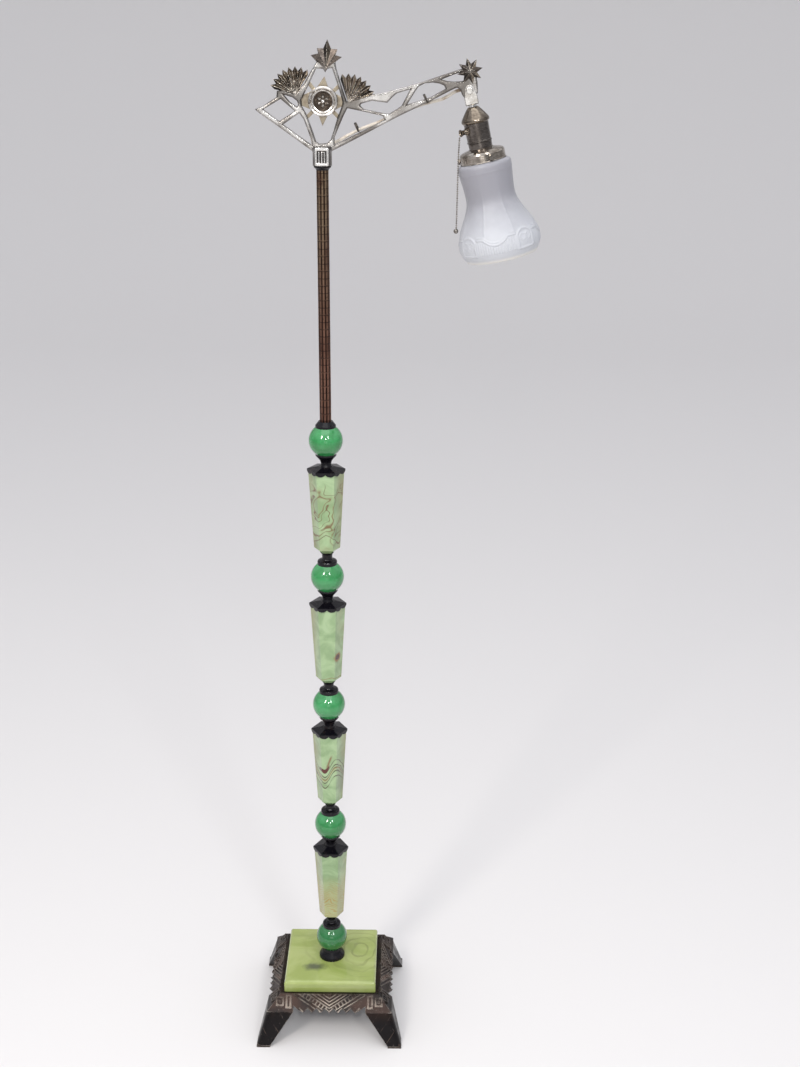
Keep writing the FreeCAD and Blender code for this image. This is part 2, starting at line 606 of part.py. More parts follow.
# --- head: drawn with the knuckle's screw at the origin and the socket hanging down -Z -----------
EAR_IN = ARM_T / 2 + 0.3      # half width of the slot over the arm's lug
EAR_OUT = EAR_IN + 4.0
SLOT_END = 12.5               # distances down from the screw's axis
BLOCK_END = 19.0
LEAD_IN = 15.9                # the lead enters the block here, from the rear
NIPPLE_R = 4.9
SHELL_TOP = 43.5
SHELL_SEAM = 67.0
SHELL_END = 82.0
SHELL_T = 0.6
GUIDE_DOWN = 52.0             # the chain guide's axis
GUIDE_TURN = 210.0            # its direction round the socket, degrees from +X
GUIDE_END = 27.0
HOLDER_R = 31.5
SCREW_DOWN = 90.3
SCREW_TURNS = (170.0, 290.0, 50.0)
THUMB_R = 1.95
GLASS_T = 3.0
BULB_T = 0.9
NECK_TOP = 85.3
CHAIN_D = 2.4
CHAIN_BALL_R = 3.4
CHAIN_ROUTE = [(188.6, -14.0, 1433.5), (187.6, -14.0, 1419.5), (187.1, -13.8, 1393.0),
               (186.7, -14.2, 1352.0), (186.2, -14.0, 1309.9)]
LEAD_ROUTE = [(0, 11.0, -4.6), (0, 11.0, -LEAD_IN), (0, 0, -LEAD_IN), (0, 0, -41.0)]


def hung(shape):
    """Swing a head part to its rest angle and hang it on the knuckle."""
    placed = shape.copy()
    placed.rotate(V(0, 0, 0), V(0, 1, 0), -HEAD_TILT)
    placed.translate(V(PIVOT_X, 0, PIVOT_Z))
    return placed


def down(profile):
    """A solid turned about the head's axis from (radius, distance down) points."""
    return turned([(r, -s) for r, s in reversed(profile)])


def outward(profile, depth, angle):
    """A solid turned about a line that leaves the head's axis sideways, from (along, radius)."""
    face = face_of([V(along, 0, r) for along, r in profile])
    solid = face.revolve(V(0, 0, 0), V(1, 0, 0), 360)
    solid.rotate(V(0, 0, 0), V(0, 0, 1), angle)
    solid.translate(V(0, 0, -depth))
    return solid


def knuckle_parts():
    cheeks = plate([(-7.0, 0), (-9.0, -8.0), (-9.0, -BLOCK_END), (9.0, -BLOCK_END), (9.0, -8.0), (7.0, 0)],
                   -EAR_OUT, EAR_OUT)
    body = joined([cheeks, ycyl(7.0, 0, 0, -EAR_OUT, EAR_OUT)])
    rims = [e for e in body.Edges if e.BoundBox.YLength < 0.01]
    body = body.makeChamfer(1.0, rims)
    body = body.cut(box(-20, 20, -EAR_IN, EAR_IN, -SLOT_END, 20))
    body = body.cut(ycyl(SCREW_R, 0, 0, -20, 20))
    body = body.cut(cyl(NIPPLE_R, -BLOCK_END - 1, -14.0))
    channel = cable(LEAD_ROUTE, WIRE_D + 0.6, "lead channel")
    add("knuckle", hung(body.cut(channel)))
    nipple = down([(3.4, 14.0), (NIPPLE_R, 14.0), (NIPPLE_R, BLOCK_END), (5.7, BLOCK_END), (5.7, 22.0),
                   (NIPPLE_R, 22.0), (NIPPLE_R, 27.0), (3.4, 27.0)])
    add("nipple", hung(nipple.cut(channel)))
    head = ycyl(5.0, 0, 0, -EAR_OUT - 3.2, -EAR_OUT)
    head = softened(head, [e for e in head.Edges if e.BoundBox.YMax < -EAR_OUT - 3], (1.6, 1.0))
    slit = box(-6, 6, -EAR_OUT - 4, -EAR_OUT - 2.0, -0.6, 0.6)
    slit.rotate(V(0, 0, 0), V(0, 1, 0), 35)
    screw = head.cut(slit).fuse(ycyl(SCREW_R, 0, 0, -EAR_OUT - 1, EAR_OUT - 0.6)).removeSplitter()
    add("knuckle_screw", hung(screw))
    add("head_lead", hung(cable(LEAD_ROUTE, WIRE_D, "head lead")))


def socket_parts():
    cap = down([(NIPPLE_R + 0.05, 22.0), (6.8, 22.0), (7.6, 22.7), (10.2, 25.5), (14.2, 30.8), (18.0, 36.2),
                (19.2, 38.4), (19.5, 40.2), (19.2, 41.8), (17.4, SHELL_TOP), (16.2, SHELL_TOP), (18.3, 41.0),
                (18.6, 40.0), (17.2, 37.0), (13.4, 31.4), (9.4, 26.2), (7.2, 23.8), (NIPPLE_R + 0.05, 23.8)])
    add("socket_cap", hung(cap))
    port = outward([(4.0, 0), (20.0, 0), (20.0, 2.2), (4.0, 2.2)], GUIDE_DOWN, GUIDE_TURN)
    upper = down([(17.1 - SHELL_T, SHELL_TOP), (17.1, SHELL_TOP), (16.5, SHELL_SEAM),
                  (16.5 - SHELL_T, SHELL_SEAM)])
    add("shell_upper", hung(upper.cut(port)))
    lower = down([(16.5 - SHELL_T, SHELL_SEAM), (16.5, SHELL_SEAM), (17.3, SHELL_SEAM + 0.7),
                  (17.3, SHELL_SEAM + 2.1), (16.4, SHELL_SEAM + 2.9), (16.1, 78.0), (16.1, SHELL_END),
                  (16.1 - SHELL_T, SHELL_END), (16.1 - SHELL_T, SHELL_SEAM + 3.5)])
    add("shell_lower", hung(lower))
    insert = down([(0, 44.5), (15.0, 44.5), (15.0, 60.0), (13.0, 61.5), (0, 61.5)])
    add("socket_insert", hung(insert.cut(port)))
    thread = down([(0, 61.5), (14.4, 61.5), (14.4, 84.0), (13.8, 84.0), (13.8, 62.1), (0, 62.1)])
    add("socket_thread", hung(thread))
    guide = outward([(15.0, 2.3), (15.0, 5.4), (18.0, 5.4), (18.8, 3.9), (21.5, 3.2), (24.2, 3.5),
                     (26.2, 4.5), (GUIDE_END, 5.0), (GUIDE_END, 4.2), (25.2, 2.6), (22.0, 1.8), (18.0, 1.8),
                     (15.0, 2.1)], GUIDE_DOWN, GUIDE_TURN)
    inside = down([(0, SHELL_TOP), (17.15, SHELL_TOP), (16.55, SHELL_SEAM), (0, SHELL_SEAM)])
    add("chain_guide", hung(guide.cut(inside)))
    rod = outward([(6.0, 0), (29.5, 0), (29.5, 1.0), (6.0, 1.0)], GUIDE_DOWN, GUIDE_TURN)
    a = radians(GUIDE_TURN)
    tip = (29.5 * cos(a), 29.5 * sin(a))
    knob = ball(1.9, (tip[0], tip[1], -GUIDE_DOWN - 1.6))
    add("switch_stub", hung(joined([rod, knob])))


def chain_parts():
    add("pull_chain", cable(CHAIN_ROUTE, CHAIN_D, "pull chain"))
    end = CHAIN_ROUTE[-1]
    add("chain_ball", ball(CHAIN_BALL_R, (end[0] - 0.4, end[1], end[2] - CHAIN_BALL_R)))


def offset(points, depth):
    """Points moved square to their own curve, towards the axis."""
    moved = []
    for k, (r, s) in enumerate(points):
        before = points[max(k - 1, 0)]
        after = points[min(k + 1, len(points) - 1)]
        dr = after[0] - before[0]
        ds = after[1] - before[1]
        length = sqrt(dr * dr + ds * ds)
        moved.append((r - depth * ds / length, s + depth * dr / length))
    return moved


def glass_shade():
    """Bell shade: fitter neck, shouldered body, then a full round bell turned in at the rim."""
    outside = [(29.0, 95.4), (33.6, 96.2), (37.0, 98.6), (38.0, 103.0), (37.6, 110.0), (36.6, 120.0),
               (35.5, 132.0), (35.1, 142.0), (36.0, 150.5), (38.6, 158.0), (42.8, 167.0), (48.4, 177.0),
               (53.0, 186.0), (56.2, 196.0), (57.4, 206.0), (56.8, 215.0), (54.2, 222.5), (50.2, 228.6)]
    inside = offset(outside, GLASS_T)
    outer = Part.BSplineCurve()
    outer.interpolate([V(r, 0, -s) for r, s in outside])
    inner = Part.BSplineCurve()
    inner.interpolate([V(r, 0, -s) for r, s in inside])
    rim = Part.makePolygon([V(r, 0, -s) for r, s in (outside[-1], inside[-1])])
    neck = [inside[0], (24.6, 94.4), (24.6, NECK_TOP + 0.6), (25.4, NECK_TOP), (27.9, NECK_TOP),
            (28.5, NECK_TOP + 0.7), (28.5, NECK_TOP + 1.9), (27.4, NECK_TOP + 2.9), (27.4, 93.2), outside[0]]
    collar = Part.makePolygon([V(r, 0, -s) for r, s in neck])
    wire = Part.Wire(Part.__sortEdges__([outer.toShape(), inner.toShape()] + rim.Edges + collar.Edges))
    return Part.Face(wire).revolve(V(0, 0, 0), V(0, 0, 1), 360)


def shade_parts():
    holder = down([(16.2, 79.0), (17.6, 78.0), (26.6, 80.2), (30.4, 82.2), (HOLDER_R, 85.0),
                   (HOLDER_R, 94.2), (HOLDER_R + 0.9, 95.0), (HOLDER_R + 0.2, 95.6), (HOLDER_R - 0.9, 94.8),
                   (HOLDER_R - 0.9, 85.2), (29.8, 83.0), (26.2, 81.2), (16.2, 79.9)])
    for turn in SCREW_TURNS:
        hole = outward([(28.0, 0), (34.0, 0), (34.0, THUMB_R + 0.05), (28.0, THUMB_R + 0.05)], SCREW_DOWN, turn)
        holder = holder.cut(hole)
    add("shade_holder", hung(holder))
    for number, turn in enumerate(SCREW_TURNS, 1):
        shank = outward([(27.8, 0), (32.6, 0), (32.6, THUMB_R), (28.3, THUMB_R), (27.8, 1.4)], SCREW_DOWN, turn)
        grip = face_of([V(32.2, 4.2 * cos(2 * pi * k / 14), 4.2 * sin(2 * pi * k / 14)) for k in range(14)])
        grip = grip.extrude(V(2.8, 0, 0))
        grip.rotate(V(0, 0, 0), V(0, 0, 1), turn)
        grip.translate(V(0, 0, -SCREW_DOWN))
        add("holder_screw_%d" % number, hung(joined([shank, grip])))
    glass = glass_shade()
    add("glass_shade", hung(glass))
    base = down([(0, 63.0), (5.0, 63.0), (12.6, 66.0), (12.6, 87.0), (14.2, 90.5), (13.3, 90.5),
                 (11.8, 87.2), (11.8, 66.6), (4.8, 63.8), (0, 63.8)])
    add("bulb_base", hung(base))
    outside = [(14.2, 90.5), (16.0, 100.0), (21.4, 114.0), (24.0, 128.0), (21.5, 141.5), (13.0, 150.0)]
    outer = Part.BSplineCurve()
    outer.interpolate([V(r, 0, -s) for r, s in outside + [(0.0, 153.0)]])
    inner = Part.BSplineCurve()
    inner.interpolate([V(r, 0, -s) for r, s in offset(outside, BULB_T) + [(0.0, 153.0 - BULB_T)]])
    tip = Part.makePolygon([V(0, 0, -153.0), V(0, 0, BULB_T - 153.0)])
    ends = [outer.toShape(), inner.toShape()]
    mouth = Part.makePolygon([edge.Vertexes[0].Point for edge in ends])
    outline = Part.Wire(Part.__sortEdges__(ends + tip.Edges + mouth.Edges))
    add("bulb_glass", hung(Part.Face(outline).revolve(V(0, 0, 0), V(0, 0, 1), 360)))


# --- leads -------------------------------------------------------------------------------------
SWIVEL_LEAD_Z = BOSS_FLOOR + 17.7
POLE_LEAD = [(0, 84.0, 50.0), (0, 58.0, 48.0), (0, 28.0, 43.0),
             (0, 0, 50.0), (0, 0, SWIVEL_LEAD_Z - 2.6)]
ARM_LEAD = [(0, 0, SWIVEL_LEAD_Z), (0, 20.0, SWIVEL_LEAD_Z), (12.0, 17.0, 1420.0), (28.0, 8.6, 1429.0),
            (52.0, 7.2, 1441.8), (78.0, 7.0, 1450.6), (108.0, 7.0, 1464.8),
            (144.0, 7.4, 1477.0), (166.0, 9.4, 1481.4), (184.0, 10.8, 1493.4), (201.0, 11.0, 1494.0)]


def lead_parts():
    add("pole_lead", cable(POLE_LEAD, WIRE_D, "pole lead"))
    lead = cable(ARM_LEAD, WIRE_D, "arm lead")
    add("arm_lead", joined([lead, ball(WIRE_D / 2, ARM_LEAD[-1])]))


base_parts()
pole_parts()
arm_parts()
knuckle_parts()
socket_parts()
chain_parts()
shade_parts()
lead_parts()

os.makedirs("parts", exist_ok=True)
for name, shape in nodes.items():
    if not shape.isValid() or shape.Volume <= 0:
        print("BAD SOLID", name)
    shape.exportStep("parts/%s.step" % name)
print(len(nodes), "sub-parts")
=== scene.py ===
import json
from math import cos, pi, radians, sin, sqrt

import bmesh
import bpy
from mathutils import Matrix, Vector


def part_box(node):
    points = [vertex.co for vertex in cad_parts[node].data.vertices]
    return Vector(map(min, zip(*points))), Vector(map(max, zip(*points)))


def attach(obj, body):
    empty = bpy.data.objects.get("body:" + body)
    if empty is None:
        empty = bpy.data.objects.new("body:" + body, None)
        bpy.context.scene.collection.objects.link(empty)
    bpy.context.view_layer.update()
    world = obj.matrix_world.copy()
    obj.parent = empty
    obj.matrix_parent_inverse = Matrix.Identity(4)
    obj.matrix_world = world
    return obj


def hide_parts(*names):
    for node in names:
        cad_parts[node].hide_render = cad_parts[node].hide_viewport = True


# Bridge-arm floor lamp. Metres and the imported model's own frame: z up, the floor at z = 0, the pole
# on the z axis, the arm towards +X and the front towards -Y.

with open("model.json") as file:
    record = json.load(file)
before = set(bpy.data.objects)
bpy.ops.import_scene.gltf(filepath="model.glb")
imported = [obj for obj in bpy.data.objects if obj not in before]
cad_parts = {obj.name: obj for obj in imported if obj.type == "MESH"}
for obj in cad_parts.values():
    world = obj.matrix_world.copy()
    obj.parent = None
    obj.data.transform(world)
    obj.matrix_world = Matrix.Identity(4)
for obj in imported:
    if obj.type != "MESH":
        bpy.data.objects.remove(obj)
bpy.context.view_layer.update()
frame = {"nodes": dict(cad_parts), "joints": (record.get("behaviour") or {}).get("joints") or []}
nodes = frame["nodes"]
joints = {joint["name"]: joint for joint in frame["joints"]}

# --- camera --------------------------------------------------------------------------------------
CAMERA_AT = (0.1253, -2.0654, 1.6060)
CAMERA_DOWN = 20.04         # degrees, as are the next two
CAMERA_PAN = -0.416
CAMERA_ROLL = 0.338
CAMERA_LENS = 49.16


def make_camera():
    down, pan, roll = radians(CAMERA_DOWN), radians(CAMERA_PAN), radians(CAMERA_ROLL)
    ahead = Vector((sin(pan) * cos(down), cos(pan) * cos(down), -sin(down)))
    level = Vector((cos(pan), -sin(pan), 0.0))
    upright = level.cross(ahead)
    right = level * cos(roll) + upright * sin(roll)
    up = upright * cos(roll) - level * sin(roll)
    data = bpy.data.cameras.new("camera")
    data.lens = CAMERA_LENS
    camera = bpy.data.objects.new("camera", data)
    turn = Matrix((right, up, -ahead)).transposed()
    camera.matrix_world = Matrix.Translation(CAMERA_AT) @ turn.to_4x4()
    bpy.context.collection.objects.link(camera)
    bpy.context.scene.camera = camera


# --- mesh helpers --------------------------------------------------------------------------------
def new_object(name, data):
    obj = bpy.data.objects.new(name, data)
    bpy.context.collection.objects.link(obj)
    return obj


def smooth_object(name, mesh):
    for polygon in mesh.polygons:
        polygon.use_smooth = True
    return new_object(name, mesh)


def mesh_object(name, verts, faces):
    mesh = bpy.data.meshes.new(name)
    mesh.from_pydata([tuple(v) for v in verts], [], faces)
    mesh.update()
    return smooth_object(name, mesh)


def ring_faces(rows, columns):
    """Quads of rows x columns points that close on themselves both ways, as a ring's do."""
    faces = []
    for i in range(rows):
        for j in range(columns):
            k = (j + 1) % columns
            m = (i + 1) % rows
            faces.append((i * columns + j, i * columns + k, m * columns + k, m * columns + j))
    return faces


def smoothstep(low, high, value):
    t = min(max((value - low) / (high - low), 0.0), 1.0)
    return t * t * (3 - 2 * t)


# --- bead chain ----------------------------------------------------------------------------------
CHAIN_D = 0.0024
BEAD_STEP = 0.0031
BEAD_SIDES = 12
BEAD_RINGS = 8
LINK_R = CHAIN_D * 0.17
LINK_SIDES = 6
LINE_CUTS = 24
CHAIN_ROUTE = [(0.1886, -0.0140, 1.4335), (0.1876, -0.0140, 1.4195), (0.1871, -0.0138, 1.3930),
               (0.1867, -0.0142, 1.3520), (0.1862, -0.0140, 1.3099)]


def spline_points(name, route):
    """The points of the smooth line that a route's control points give."""
    curve = bpy.data.curves.new(name, "CURVE")
    curve.dimensions = "3D"
    spline = curve.splines.new("NURBS")
    spline.points.add(len(route) - 1)
    for point, place in zip(spline.points, route):
        point.co = (*place, 1.0)
    spline.order_u = 3
    spline.use_endpoint_u = True
    spline.resolution_u = LINE_CUTS
    holder = new_object(name, curve)
    line = bpy.data.meshes.new_from_object(holder)
    points = [v.co.copy() for v in line.vertices]
    bpy.data.objects.remove(holder)
    return points


def along(points, step):
    """Points every step along a line, its first and last included."""
    lengths = [0.0]
    for a, b in zip(points, points[1:]):
        lengths.append(lengths[-1] + (b - a).length)
    count = round(lengths[-1] / step)
    placed = []
    k = 0
    for n in range(count + 1):
        want = lengths[-1] * n / count
        while k < len(points) - 2 and lengths[k + 1] < want:
            k += 1
        t = (want - lengths[k]) / (lengths[k + 1] - lengths[k])
        placed.append(points[k].lerp(points[k + 1], t))
    return placed, lengths[-1]


def add_bead(bm, centre):
    matrix = Matrix.Translation(centre)
    bmesh.ops.create_uvsphere(bm, u_segments=BEAD_SIDES, v_segments=BEAD_RINGS, radius=CHAIN_D / 2,
                              matrix=matrix)


def add_link(bm, start, end):
    """Thin wire from the middle of one gap to the next, through a bead."""
    axis = end - start
    turn = axis.to_track_quat("Z", "Y").to_matrix().to_4x4()
    matrix = Matrix.Translation((start + end) / 2) @ turn
    bmesh.ops.create_cone(bm, cap_ends=True, segments=LINK_SIDES, radius1=LINK_R, radius2=LINK_R,
                          depth=axis.length, matrix=matrix)


def sort_faces(bm):
    """Faces in order of place, because Blender's balls come in a new order at each run."""
    faces = sorted(bm.faces, key=lambda face: tuple(face.calc_center_median()))
    for rank, face in enumerate(faces):
        face.index = rank
    bm.faces.sort()


def make_chain():
    line = spline_points("chain_line", CHAIN_ROUTE)
    ends, length = along(line, BEAD_STEP)
    bm = bmesh.new()
    for a, b in zip(ends, ends[1:]):
        add_bead(bm, (a + b) / 2)
        add_link(bm, a, b)
    sort_faces(bm)
    mesh = bpy.data.meshes.new("bead_chain")
    bm.to_mesh(mesh)
    bm.free()
    chain = smooth_object("bead_chain", mesh)
    chain.data.materials.append(chain_metal())
    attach(chain, "chain")
    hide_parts("pull_chain")


# --- material helpers ----------------------------------------------------------------------------
BEVEL_SAMPLES = 6


class Paint:
    """A procedural material. Values are for the shader's own sockets, _ for a space in a name.

    Each method adds nodes and gives back an output of theirs. Colours are linear RGB, lengths are
    metres, and a noise's scale is per metre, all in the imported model's frame.
    """

    def __init__(self, name, **values):
        self.material = bpy.data.materials.new(name)
        self.material.use_nodes = True
        self.tree = self.material.node_tree
        self.shader = self.tree.nodes["Principled BSDF"]
        for key, value in values.items():
            self.shader.inputs[key.replace("_", " ")].default_value = value
        place = self.tree.nodes.new("ShaderNodeTexCoord")
        self.place = place.outputs["Object"]
        self.normal = place.outputs["Normal"]

    def put(self, socket, value):
        if isinstance(value, bpy.types.NodeSocket):
            self.tree.links.new(value, socket)
        else:
            socket.default_value = value

    def math(self, operation, *values):
        node = self.tree.nodes.new("ShaderNodeMath")
        node.operation = operation
        for socket, value in zip(node.inputs, values):
            self.put(socket, value)
        return node.outputs[0]

    def plus(self, first, second):
        return self.math("ADD", first, second)

    def minus(self, first, second):
        return self.math("SUBTRACT", first, second)

    def times(self, first, second):
        return self.math("MULTIPLY", first, second)

    def length(self, first, second):
        """The length of the flat vector with these two parts."""
        return self.math("SQRT", self.plus(self.times(first, first), self.times(second, second)))

    def vector_math(self, operation, first, second):
        """The single value that an operation on two vectors gives."""
        node = self.tree.nodes.new("ShaderNodeVectorMath")
        node.operation = operation
        self.put(node.inputs[0], first)
        self.put(node.inputs[1], second)
        return node.outputs["Value"]


    def axes(self, vector):
        node = self.tree.nodes.new("ShaderNodeSeparateXYZ")
        self.put(node.inputs[0], vector)
        return node.outputs

    def stretched(self, scale):
        node = self.tree.nodes.new("ShaderNodeMapping")
        self.put(node.inputs["Vector"], self.place)
        node.inputs["Scale"].default_value = scale
        return node.outputs[0]

    def noise(self, scale, detail=3.0, roughness=0.5, distortion=0.0, vector=None):
        node = self.tree.nodes.new("ShaderNodeTexNoise")
        self.put(node.inputs["Vector"], vector or self.place)
        node.inputs["Scale"].default_value = scale
        node.inputs["Detail"].default_value = detail
        node.inputs["Roughness"].default_value = roughness
        node.inputs["Distortion"].default_value = distortion
        return node.outputs[0]

    def cells(self, scale):
        node = self.tree.nodes.new("ShaderNodeTexVoronoi")
        self.put(node.inputs["Vector"], self.place)
        node.inputs["Scale"].default_value = scale
        return node.outputs["Distance"]

    def remap(self, value, low, high, to_low=0.0, to_high=1.0):
        """A smooth, clamped change of range."""
        node = self.tree.nodes.new("ShaderNodeMapRange")
        node.interpolation_type = "SMOOTHSTEP"
        for socket, number in zip(node.inputs, (value, low, high, to_low, to_high)):
            self.put(socket, number)
        return node.outputs[0]

    def mix(self, amount, first, second):
        node = self.tree.nodes.new("ShaderNodeMix")
        node.data_type = "RGBA"
        self.put(node.inputs[0], amount)
        self.put(node.inputs[6], (*first, 1.0) if isinstance(first, tuple) else first)
        self.put(node.inputs[7], (*second, 1.0) if isinstance(second, tuple) else second)
        return node.outputs[2]

    def line(self, value, middle, width):
        """1 on the contour where value equals middle, falling to 0 at width on either side."""
        off = self.math("ABSOLUTE", self.minus(value, middle))
        return self.remap(off, 0.0, width, 1.0, 0.0)

    def bump(self, height, distance, strength=1.0, under=None):
        node = self.tree.nodes.new("ShaderNodeBump")
        node.inputs["Strength"].default_value = strength
        node.inputs["Distance"].default_value = distance
        self.put(node.inputs["Height"], height)
        if under:
            self.put(node.inputs["Normal"], under)
        return node.outputs[0]

    def edges(self, radius, low, high):
        """1 near an edge and 0 on the flats, and the normal with its edges rounded off."""
        round_off = self.tree.nodes.new("ShaderNodeBevel")
        round_off.samples = BEVEL_SAMPLES
        round_off.inputs["Radius"].default_value = radius
        rounded = round_off.outputs[0]
        surface = self.tree.nodes.new("ShaderNodeNewGeometry")
        match = self.vector_math("DOT_PRODUCT", rounded, surface.outputs["True Normal"])
        return self.remap(match, low, high, 1.0, 0.0), rounded

    def done(self, color=None, roughness=None, normal=None):
        for name, value in (("Base Color", color), ("Roughness", roughness), ("Normal", normal)):
            if value is not None:
                self.put(self.shader.inputs[name], value)
        return self.material


# --- metals --------------------------------------------------------------------------------------
BOSS_TOP = 1.4190           # top of the arm's boss
PANEL_FLOOR = -0.0126       # y of the sunk floor between the boss's bars
PANEL_FACE = -0.0141        # y just behind the faces of the bars and the frame


def arm_silver():
    """Polished cast white metal: dark on its edges as painted shade with patina, darkened in large
    patches as painted reflection, dark in the boss's panel, and with a painted highlight on the faces
    of the boss's bars and frame.
    """
    p = Paint("arm_silver", Metallic=1.0)
    x, y, z = p.axes(p.place)
    cloud = p.noise(90.0, 4.0, 0.6)
    fine = p.noise(420.0, 2.0)
    edges, rounded = p.edges(0.0032, 0.92, 0.9985)
    # Dark on the edges: painted shade and dark reflection on the rounded edges, with some patina.
    edge_shade_and_patina = p.times(edges, p.remap(cloud, 0.28, 0.62, 0.80, 1.0))
    edge_shade_and_patina = p.times(edge_shade_and_patina, p.remap(z, BOSS_TOP - 0.003, BOSS_TOP + 0.002, 0.25, 1.0))
    silver = p.mix(p.remap(p.noise(45.0), 0.38, 0.68), (0.66, 0.64, 0.615), (0.36, 0.335, 0.31))
    # Large dark patches: painted reflection of the surroundings on the polished faces.
    silver = p.mix(p.remap(p.noise(17.0, 3.0), 0.42, 0.60, 0.0, 0.85), silver, (0.16, 0.145, 0.13))
    color = p.mix(edge_shade_and_patina, silver, (0.060, 0.050, 0.044))
    sunk = p.times(p.remap(y, PANEL_FACE, PANEL_FLOOR - 0.0006),
                   p.remap(y, PANEL_FLOOR + 0.0006, PANEL_FLOOR + 0.0011, 1.0, 0.0))
    low_down = p.remap(z, BOSS_TOP - 0.004, BOSS_TOP, 1.0, 0.0)
    color = p.mix(p.times(sunk, low_down), color, (0.07, 0.06, 0.055))
    color = p.mix(p.times(p.remap(fine, 0.60, 0.72), 0.45), color, (0.14, 0.11, 0.09))
    # Painted highlight: the front faces of the boss's bars and frame are made near white.
    bar_highlight = p.times(p.remap(z, BOSS_TOP - 0.0025, BOSS_TOP + 0.0005, 0.75, 0.0),
                    p.remap(y, PANEL_FACE, PANEL_FACE + 0.0003, 1.0, 0.0))
    color = p.mix(bar_highlight, color, (0.88, 0.86, 0.83))
    rough = p.remap(cloud, 0.3, 0.75, 0.13, 0.30)
    return p.done(color, rough, p.bump(p.noise(260.0, 3.0), 0.0002, 0.4, rounded))


def dark_nickel(name, low, high):
    """Ornaments: dark antique nickel, rubbed on the ridges, with facets that look sideways painted
    lighter tan as painted light.
    """
    p = Paint(name, Metallic=0.95)
    sideways = p.axes(p.normal)[0]
    cloud = p.noise(150.0, 4.0, 0.65)
    # Painted light: facets whose normal looks sideways are made tan, in patches.
    rub_and_sheen = p.times(p.remap(sideways, low, high), p.remap(cloud, 0.30, 0.58))
    color = p.mix(rub_and_sheen, (0.050, 0.041, 0.035), (0.52, 0.43, 0.32))
    edges, rounded = p.edges(0.0009, 0.82, 0.99)
    ridges = p.times(edges, p.remap(cloud, 0.36, 0.56, 0.2, 0.9))
    color = p.mix(ridges, color, (0.50, 0.47, 0.43))
    color = p.mix(p.remap(p.noise(500.0, 2.0), 0.56, 0.70), color, (0.030, 0.025, 0.022))
    rough = p.remap(cloud, 0.3, 0.7, 0.18, 0.38)
    return p.done(color, rough, p.bump(p.noise(700.0), 0.0002, 0.4, rounded))


def medal_brass():
    """Star plate behind the medallion: tan brass with a pale rubbed rim."""
    p = Paint("medal_brass", Metallic=0.85)
    cloud = p.noise(120.0, 4.0)
    color = p.mix(p.remap(cloud, 0.35, 0.65), (0.33, 0.285, 0.215), (0.21, 0.172, 0.125))
    edges, rounded = p.edges(0.0009, 0.80, 0.99)
    color = p.mix(p.times(edges, 0.8), color, (0.62, 0.59, 0.55))
    rough = p.remap(cloud, 0.3, 0.7, 0.26, 0.44)
    return p.done(color, rough, p.bump(p.noise(400.0), 0.0002, 0.4, rounded))


def medallion_metal():
    """Bright ring; dark floor inside it with a rubbed rosette."""
    p = Paint("medallion_metal", Metallic=0.95)
    raised = p.remap(p.axes(p.place)[1], -0.0042, -0.0024, 1.0, 0.0)
    cloud = p.noise(220.0, 3.0)
    color = p.mix(raised, (0.060, 0.046, 0.036), (0.66, 0.63, 0.59))
    color = p.mix(p.remap(cloud, 0.5, 0.75), color, (0.16, 0.125, 0.095))
    return p.done(color, p.remap(cloud, 0.3, 0.7, 0.16, 0.34), p.bump(p.noise(600.0), 0.0002, 0.4))


def nickel():
    p = Paint("nickel", Metallic=1.0)
    cloud = p.noise(140.0, 3.0)
    color = p.mix(p.remap(cloud, 0.35, 0.7), (0.72, 0.70, 0.67), (0.44, 0.41, 0.37))
    return p.done(color, p.remap(cloud, 0.3, 0.7, 0.12, 0.28), p.bump(p.noise(350.0), 0.00015, 0.4))


def antique_nickel(name, light, dark, gloss):
    """Socket metal: browned nickel with a brushing bump round the shell and painted reflection bands
    along it; gloss is its least roughness.
    """
    p = Paint(name, Metallic=1.0)
    cloud = p.noise(60.0, 4.0, 0.6)
    brushing_and_sheen = p.noise(30.0, 4.0, vector=p.stretched((6.0, 6.0, 90.0)))
    color = p.mix(p.remap(cloud, 0.35, 0.65), light, dark)
    shine = tuple(1.5 * part for part in light)
    shade = tuple(0.3 * part for part in dark)
    # Painted reflection: lighter and darker bands along the brushing.
    color = p.mix(p.remap(brushing_and_sheen, 0.52, 0.76, 0.0, 0.6), color, shine)
    color = p.mix(p.remap(brushing_and_sheen, 0.48, 0.36, 0.0, 0.7), color, shade)
    rough = p.remap(cloud, 0.3, 0.7, gloss, gloss + 0.14)
    return p.done(color, rough, p.bump(brushing_and_sheen, 0.00015, 0.3))


def chain_metal():
    p = Paint("chain_metal", Metallic=1.0)
    cloud = p.noise(500.0, 3.0)
    color = p.mix(p.remap(cloud, 0.4, 0.6), (0.34, 0.31, 0.28), (0.15, 0.135, 0.12))
    return p.done(color, p.remap(cloud, 0.3, 0.7, 0.25, 0.45), p.bump(cloud, 0.0001, 0.4))


THREAD_WAVES = 1800.0       # radians of thread per metre


def brass():
    p = Paint("brass", Metallic=1.0)
    cloud = p.noise(120.0, 3.0)
    color = p.mix(p.remap(cloud, 0.35, 0.65), (0.80, 0.60, 0.30), (0.55, 0.39, 0.18))
    threads = p.math("SINE", p.times(p.axes(p.place)[2], THREAD_WAVES))
    return p.done(color, p.remap(cloud, 0.3, 0.7, 0.2, 0.38), p.bump(threads, 0.0004, 0.5))


def steel():
    p = Paint("steel", Metallic=1.0)
    cloud = p.noise(90.0, 4.0)
    color = p.mix(p.remap(cloud, 0.35, 0.7), (0.48, 0.46, 0.44), (0.27, 0.24, 0.22))
    return p.done(color, p.remap(cloud, 0.3, 0.7, 0.3, 0.5), p.bump(p.noise(500.0), 0.0002, 0.4))


